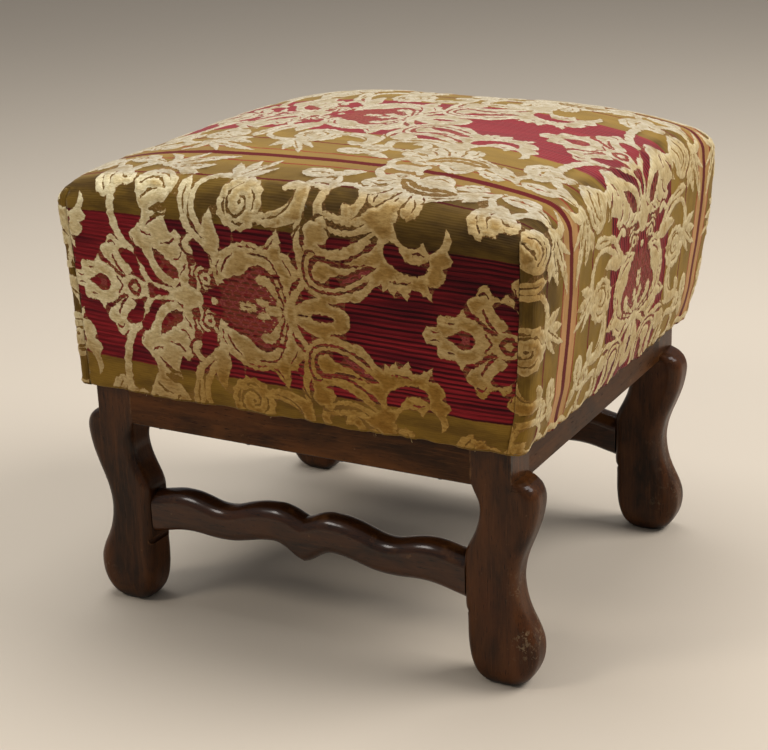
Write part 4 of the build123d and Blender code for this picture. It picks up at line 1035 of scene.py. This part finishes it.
# the stuffing keeps its modelled shape, and is pressed in wherever it would reach the wadding
v_, q_, _ = shell_grid(13.0, 0.0)
limit = BVHTree.FromPolygons([tuple(p) for p in v_ - quad_normals(v_, q_) * 0.0088], clean([tuple(f) for f in q_]))
stuff = NODES["stuffing_pad"].copy()
stuff.data = stuff.data.copy()
stuff.name = "hair_stuffing"
bpy.context.scene.collection.objects.link(stuff)
to_world = NODES["stuffing_pad"].matrix_world.copy()
for vert in stuff.data.vertices:
    w = to_world @ vert.co
    hit, nn, _, _ = limit.find_nearest(w)
    if hit is not None and (w - hit).dot(nn) > 0:
        w = hit
    vert.co = to_world.inverted() @ w
stuff.matrix_world = to_world
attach(stuff, "root")
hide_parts("stuffing_pad")


def tubes(name, paths, radius, sides=6):
    """round threads along short paths, ends closed."""
    vs, fs, n = [], [], 0
    for path in paths:
        path = np.array(path)
        t = np.gradient(path, axis=0)
        t /= np.linalg.norm(t, axis=1)[:, None] + 1e-12
        ref = np.array([0.3, 0.2, 0.93])
        u = np.cross(t, ref)
        u /= np.linalg.norm(u, axis=1)[:, None] + 1e-12
        w = np.cross(t, u)
        th = np.arange(sides) / sides * 2 * math.pi
        k = np.sin(np.linspace(0.35, math.pi - 0.35, len(path))) ** 0.5
        for i in range(len(path)):
            vs.append(path[i] + radius * k[i] * (np.cos(th)[:, None] * u[i] + np.sin(th)[:, None] * w[i]))
        for i in range(len(path) - 1):
            for j in range(sides):
                a_, b_ = n + i * sides + j, n + i * sides + (j + 1) % sides
                fs.append((a_, b_, b_ + sides, a_ + sides))
        fs.append(tuple(n + j for j in range(sides))[::-1])
        fs.append(tuple(n + (len(path) - 1) * sides + j for j in range(sides)))
        n += len(path) * sides
    return mesh_of(name, np.concatenate(vs), fs)


def thread_mat():
    m = Tree("gold_thread")
    t = m.noise(m.coord(), 900.0, 2, 0.6)
    m.set(Base_Color=m.mix(m.step(t, 0.3, 0.7), (0.36, 0.235, 0.080), (0.58, 0.42, 0.18)), Roughness=0.7, Sheen_Weight=0.2, Normal=m.bump(t, 0.4, 0.0003))
    return m.mat


rng = np.random.default_rng(11)
hem_ids = np.unique(rim[is_hem])
paths = []
for i in rng.choice(hem_ids, 26, replace=False):
    o = nrm[i] * (1, 1, 0)
    o = o / (np.linalg.norm(o) + 1e-9)
    t = np.array([-o[1], o[0], 0.0])
    p0 = pos[i] + np.array([0, 0, -0.0034]) - o * rng.uniform(0.0010, 0.0040)
    ln, lean, bow = rng.uniform(0.0010, 0.0026), rng.uniform(-0.9, 0.9), rng.uniform(-0.3, 0.3)
    paths.append([p0 + np.array([0, 0, 0.001]), p0 + (t * lean * 0.4 - np.array([0, 0, 0.45])) * ln + o * 0.0002,
                  p0 + (t * (lean + bow) * 0.8 - np.array([0, 0, 0.8])) * ln, p0 + (t * (lean + 2 * bow) - np.array([0, 0, 1.0])) * ln])
fray = tubes("hem_fray", paths, 0.00018, sides=5)
THREAD = thread_mat()
for ob in (fray,):
    ob.data.materials.append(THREAD)
    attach(ob, "root")


def wood(name, grain, shift, worn=0.0, chips=0.0, wax=0.20, tone=(1.0, 1.0, 1.0)):
    """dark stained and waxed oak; grain is 0, 1 or 2 for x, y or z."""
    m = Tree(name)
    p = m.coord()

    def along(k, scale, detail=3.0, rough=0.55, dist=0.0):
        return m.noise(m.mapping(p, loc=shift, scale=[k if i == grain else 1.0 for i in range(3)]), scale, detail, rough, dist)

    mottle = along(0.35, 26.0, 5, 0.62, 0.5)
    band = along(0.06, 120.0, 4, 0.6, 0.7)
    fine = along(0.05, 620.0, 3, 0.65)
    pore = m.step(along(0.09, 880.0, 2, 0.6), 0.60, 0.70)
    red = along(0.5, 11.0, 4, 0.6)
    col = m.mix(m.step(mottle, 0.30, 0.70), (0.0105, 0.0042, 0.0015), (0.0690, 0.0255, 0.0070))
    col = m.mix(m.math("MULTIPLY", m.step(band, 0.52, 0.72), 0.55), col, (0.0115, 0.0044, 0.0016))
    col = m.mix(m.math("MULTIPLY", m.step(band, 0.46, 0.28), 0.45), col, (0.0880, 0.0335, 0.0100))
    col = m.mix(m.math("MULTIPLY", m.step(red, 0.48, 0.72), 0.45), col, (0.1000, 0.0320, 0.0085))
    col = m.mix(m.math("MULTIPLY", m.step(fine, 0.5, 0.75), 0.40), col, (0.0940, 0.0385, 0.0130))
    col = m.mix(m.math("MULTIPLY", pore, 0.75), col, (0.0050, 0.0026, 0.0016))
    # rubbed edges and old knocks
    bev = m.t.nodes.new("ShaderNodeBevel")
    bev.samples = 4
    bev.inputs["Radius"].default_value = 0.0030
    geo = m.t.nodes.new("ShaderNodeNewGeometry")
    sharp = m.math("SUBTRACT", 1.0, m.vmath("DOT_PRODUCT", bev.outputs[0], geo.outputs["Normal"], 1))
    rub = m.noise(p, 70.0, 4, 0.7)
    edge = m.math("MULTIPLY", m.step(sharp, 0.010, 0.14), m.step(rub, 0.42, 0.64))
    col = m.mix(m.math("MULTIPLY", edge, 0.70), col, (0.150, 0.080, 0.038))
    knock = m.math("MULTIPLY", m.step(m.noise(p, 130.0, 3, 0.6), 0.68, 0.73), m.step(mottle, 0.40, 0.6))
    col = m.mix(m.math("MULTIPLY", knock, 0.55), col, (0.160, 0.090, 0.045))
    x, y, z = m.xyz(p)
    if worn:
        nx, ny, nz = m.xyz(geo.outputs["Normal"])
        up = m.step(m.math("ADD", m.math("MULTIPLY", nz, 0.75), m.math("MULTIPLY", m.math("ABSOLUTE", ny), 0.45)), 0.40, 0.95)
        spot = m.step(m.noise(m.mapping(p, loc=shift), 21.0, 5, 0.64), 0.53, 0.67)
        col = m.mix(m.math("MULTIPLY", m.math("MULTIPLY", up, spot), worn), col, (0.140, 0.066, 0.026))
    pit = 0.0
    if chips:
        speck = m.step(m.noise(p, 210.0, 4, 0.75), 0.54, 0.60)
        patch = m.step(m.noise(m.mapping(p, loc=(0.31, 0.2, 0.11)), 19.0, 3, 0.6), 0.44, 0.58)
        side = m.math("MULTIPLY", m.step(z, 0.128, 0.095), m.step(z, 0.018, 0.040))
        side = m.math("MULTIPLY", side, m.step(m.math("ADD", m.math("ABSOLUTE", x), m.math("MULTIPLY", m.math("ABSOLUTE", y), -0.15)), 0.176, 0.200))
        pit = m.math("MULTIPLY", m.math("MULTIPLY", speck, patch), side)
        col = m.mix(m.math("MULTIPLY", pit, chips), col, (0.215, 0.175, 0.125))
    # painted shade: darker in hollows and where parts meet, by ambient occlusion, together with dust
    dust_and_shade = m.t.nodes.new("ShaderNodeAmbientOcclusion")
    dust_and_shade.samples = 4
    dust_and_shade.inputs["Distance"].default_value = 0.02
    col = m.mix(m.step(dust_and_shade.outputs["AO"], 0.75, 0.25), col, (0.0080, 0.0048, 0.0032))
    col = m.mix(1.0, col, tone, "MULTIPLY")
    scratch = m.step(m.noise(m.mapping(p, rot=(0.4, 0.7, 0.3), scale=(1, 1, 0.08)), 260.0, 2, 0.6), 0.68, 0.80)
    rough = m.math("ADD", 0.33, m.math("ADD", m.math("MULTIPLY", mottle, 0.14), m.math("MULTIPLY", pore, 0.25)))
    bump = m.math("ADD", m.math("MULTIPLY", band, 0.35), m.math("ADD", m.math("MULTIPLY", pore, -0.55), m.math("ADD", m.math("MULTIPLY", scratch, -0.35), m.math("MULTIPLY", pit, -1.2))))
    m.set(Base_Color=col, Roughness=rough, Specular_IOR_Level=0.06, Coat_Weight=wax, Coat_Roughness=0.17,
          Normal=m.bump(bump, 0.40, 0.0005))
    return m.mat


def dress(node, mat):
    ob = NODES[node]
    ob.data.materials.clear()
    ob.data.materials.append(mat)
    for p in ob.data.polygons:
        p.use_smooth = True
    mod = ob.modifiers.new("weighted", "EDGE_SPLIT")
    mod.split_angle = math.radians(32)
    return ob


for i, n in enumerate(("leg_front_right", "leg_front_left", "leg_back_right", "leg_back_left")):
    dress(n, wood("stained_" + n, 2, (0.31 * i, 0.17 * i, 0.05 * i), worn=0.30, chips=0.65 if n == "leg_front_right" else 0.25, wax=0.28, tone=(1.12, 0.97, 0.74)))
for i, n in enumerate(("stretcher_front", "stretcher_back")):
    dress(n, wood("stained_" + n, 0, (0.11, 0.23 * i, 0.4), worn=0.85, wax=0.60, tone=(0.84, 0.68, 0.46)))
for i, n in enumerate(("rail_front", "rail_back")):
    dress(n, wood("stained_" + n, 0, (0.2, 0.37 * i, 0.15), wax=0.12, tone=(1.40, 1.30, 1.05)))
for i, n in enumerate(("rail_right", "rail_left")):
    dress(n, wood("stained_" + n, 1, (0.27, 0.4 * i, 0.09), wax=0.06, tone=(1.0, 0.92, 0.70)))


def plain_wood():
    m = Tree("raw_beech")
    p = m.coord()
    g = m.noise(m.mapping(p, scale=(1, 1, 0.1)), 90.0, 4, 0.6, 0.4)
    m.set(Base_Color=m.ramp(g, (0.3, (0.30, 0.18, 0.09)), (0.7, (0.46, 0.31, 0.17))), Roughness=0.7, Normal=m.bump(g, 0.3, 0.0004))
    return m.mat


def steel(name, tint, rust):
    m = Tree(name)
    n = m.noise(m.coord(), 160.0, 4, 0.65)
    m.set(Base_Color=m.mix(m.math("MULTIPLY", m.step(n, 0.45, 0.7), rust), tint, (0.10, 0.035, 0.012)), Metallic=0.85,
          Roughness=m.math("ADD", 0.3, m.math("MULTIPLY", n, 0.35)), Normal=m.bump(n, 0.2, 0.0002))
    return m.mat


def woven(name, warp, weft, pitch, fuzz=0.3):
    """plain weave: two sets of threads, pitch in metres."""
    m = Tree(name)
    x, y, z = m.xyz(m.coord())
    u = m.math("PINGPONG", m.math("ADD", x, m.math("MULTIPLY", z, 0.7)), pitch)
    w = m.math("PINGPONG", m.math("ADD", y, m.math("MULTIPLY", z, 0.7)), pitch)
    over = m.math("GREATER_THAN", m.math("MULTIPLY", m.math("SINE", m.math("MULTIPLY", x, math.pi / pitch)), m.math("SINE", m.math("MULTIPLY", y, math.pi / pitch))), 0.0)
    n = m.noise(m.coord(), 300.0, 3, 0.6)
    col = m.mix(over, warp, weft)
    col = m.mix(m.math("MULTIPLY", m.step(n, 0.4, 0.75), fuzz), col, tuple(c * 0.45 for c in warp))
    hgt_ = m.math("ADD", m.math("MULTIPLY", u, 0.5 / pitch), m.math("MULTIPLY", w, 0.5 / pitch))
    m.set(Base_Color=col, Roughness=0.92, Sheen_Weight=0.15, Normal=m.bump(hgt_, 0.6, pitch * 0.4))
    return m.mat


def fibre(name, light, shade):
    m = Tree(name)
    n = m.noise(m.coord(), 120.0, 6, 0.75, 1.6)
    m.set(Base_Color=m.mix(m.step(n, 0.3, 0.7), shade, light), Roughness=0.95, Sheen_Weight=0.3, Normal=m.bump(n, 0.8, 0.002))
    return m.mat


RAW, SCREW, TACK, SPRING = plain_wood(), steel("screw_steel", (0.42, 0.40, 0.36), 0.4), steel("tack_blued", (0.10, 0.105, 0.12), 0.35), steel("spring_copperwash", (0.36, 0.22, 0.14), 0.5)
JUTE, HESSIAN = woven("jute_webbing", (0.33, 0.22, 0.11), (0.24, 0.155, 0.075), 0.0016), woven("hessian", (0.36, 0.26, 0.14), (0.30, 0.205, 0.10), 0.0022)
BOTTOM = woven("bottom_cloth", (0.022, 0.020, 0.019), (0.030, 0.027, 0.025), 0.0008)
FLOCK, HAIR = fibre("cotton_wadding", (0.72, 0.69, 0.60), (0.52, 0.48, 0.38)), fibre("hair_stuffing", (0.10, 0.065, 0.04), (0.035, 0.022, 0.014))
for n in NODES:
    if n.startswith("corner_block") and n != "corner_block_screws":
        dress(n, RAW)
    elif n == "corner_block_screws":
        dress(n, SCREW)
    elif n in ("webbing_tacks", "cover_tacks", "dust_cover_tacks"):
        dress(n, TACK)
    elif n.startswith("coil_spring"):
        dress(n, SPRING)
    elif n.startswith("webbing"):
        dress(n, JUTE)
    elif n == "spring_canvas":
        dress(n, HESSIAN)

# the bottom cloth: tacked along the rails, notched round the legs, slack in the middle
gx, gy = np.linspace(-218, 218, 93), np.linspace(-199, 199, 85)
gx[np.argmin(np.abs(gx - 180))], gx[np.argmin(np.abs(gx + 180))] = 180.0, -180.0
gy[np.argmin(np.abs(gy - 161.5))], gy[np.argmin(np.abs(gy + 161.5))] = 161.5, -161.5
ux, uy = (q.ravel() for q in np.meshgrid(gx, gy, indexing="ij"))
notch = np.maximum(np.maximum(180.0 - np.abs(ux), 0), np.maximum(161.5 - np.abs(uy), 0))
rim_d = np.minimum(np.minimum(218 - np.abs(ux), 199 - np.abs(uy)), notch + 2.0)
inn = np.clip((rim_d - 7.0) / 16.0, 0, 1)
inn = inn * inn * (3 - 2 * inn)
slack = (1 - (ux / 218) ** 2) * (1 - (uy / 199) ** 2)
by_x = 218 - np.abs(ux) < 199 - np.abs(uy)
run_ = np.where(by_x, uy, ux)
pull = np.exp(-np.clip(rim_d - 4, 0, 99) / 17.0) * np.clip((rim_d - 5) / 9, 0, 1) * np.cos(run_ / 8.2 + 0.9 * np.sin(run_ / 37.0))
waves = slack * (0.45 * np.sin(ux / 29 + 0.6 * np.sin(uy / 53)) + 0.35 * np.sin(uy / 24 + 1.1 + 0.7 * np.sin(ux / 61)))
uz = 194.1 - 2.9 * inn - 1.5 * slack - 0.55 * pull + 0.6 * waves * inn
ids = np.arange(ux.size).reshape(len(gx), len(gy))
cells = np.stack([ids[:-1, :-1], ids[:-1, 1:], ids[1:, 1:], ids[1:, :-1]], -1).reshape(-1, 4)
mx, my = np.abs(ux[cells].mean(1)), np.abs(uy[cells].mean(1))
cells = cells[~((mx > 180) & (my > 161.5))]
kept_, cells = np.unique(cells, return_inverse=True)
bottom = mesh_of("bottom_cloth", np.stack([ux, uy, uz], 1)[kept_] * 0.001, cells.reshape(-1, 4))
thick = bottom.modifiers.new("thickness", "SOLIDIFY")
thick.thickness, thick.offset = 0.0006, -1.0
bottom.data.materials.append(BOTTOM)
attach(bottom, "root")
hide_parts("dust_cover")

wadding.data.materials.append(FLOCK)
stuff.data.materials.clear()
stuff.data.materials.append(HAIR)

# ------------------------------------------------------------------ stage, light and camera
def plane(name, co, mat):
    ob = mesh_of(name, co, [(0, 1, 2, 3)])
    ob.data.materials.append(mat)
    return ob


def stage_mat(name, colour):
    m = Tree(name)
    n = m.noise(m.coord(), 2.5, 2)
    m.set(Base_Color=m.mix(m.math("MULTIPLY", n, 0.08), colour, tuple(c * 0.8 for c in colour)), Roughness=0.75, Specular_IOR_Level=0.2)
    return m.mat


floor = mesh_of("floor", [(-7, -7, 0), (7, -7, 0), (7, 7, 0), (-7, 7, 0)], [(0, 1, 2, 3)])
floor.data.materials.append(stage_mat("pale_floor", (0.60, 0.52, 0.42)))

world = bpy.context.scene.world or bpy.data.worlds.new("studio")
bpy.context.scene.world = world
world.use_nodes = True
bg = world.node_tree.nodes.get("Background") or world.node_tree.nodes.new("ShaderNodeBackground")
bg.inputs[0].default_value, bg.inputs[1].default_value = (0.98, 0.97, 0.98, 1.0), 0.29


def area(name, at, look, size, power, colour=(1, 1, 1)):
    l = bpy.data.lights.new(name, "AREA")
    l.shape, l.size, l.energy, l.color = "DISK", size, power, colour
    o = bpy.data.objects.new(name, l)
    bpy.context.scene.collection.objects.link(o)
    o.location = at
    o.rotation_euler = (Vector(look) - Vector(at)).to_track_quat("-Z", "Y").to_euler()
    return o


area("key", (2.2, 0.9, 2.6), (0, 0, 0.3), 2.0, 84, (1.0, 0.985, 0.97))
area("top", (-0.4, 0.3, 2.7), (0, 0, 0.3), 2.0, 48, (0.95, 0.975, 1.0))
area("front", (-1.25, -1.75, 2.0), (0, 0, 0.2), 0.7, 15, (1.0, 0.95, 0.88))

cam = bpy.data.objects.new("camera", bpy.data.cameras.new("camera"))
bpy.context.scene.collection.objects.link(cam)
cam.data.sensor_fit, cam.data.sensor_width, cam.data.lens = "HORIZONTAL", 36.0, 81.02
az, el, roll = 0.51186458, 0.34612893, -0.03793877
back = np.array([math.sin(az) * math.cos(el), -math.cos(az) * math.cos(el), math.sin(el)])
right = np.array([math.cos(az), math.sin(az), 0.0])
upv = np.cross(back, right)
cr, sr = math.cos(roll), math.sin(roll)
rx, ry = cr * right + sr * upv, -sr * right + cr * upv
eye = np.array([829.98, -1502.70, 832.21]) * K
cam.matrix_world = Matrix(((rx[0], ry[0], back[0], eye[0]), (rx[1], ry[1], back[1], eye[1]), (rx[2], ry[2], back[2], eye[2]), (0, 0, 0, 1)))
cam.data.clip_start, cam.data.clip_end = 0.05, 50
bpy.context.scene.camera = cam
bpy.context.scene.view_settings.view_transform = "Standard"
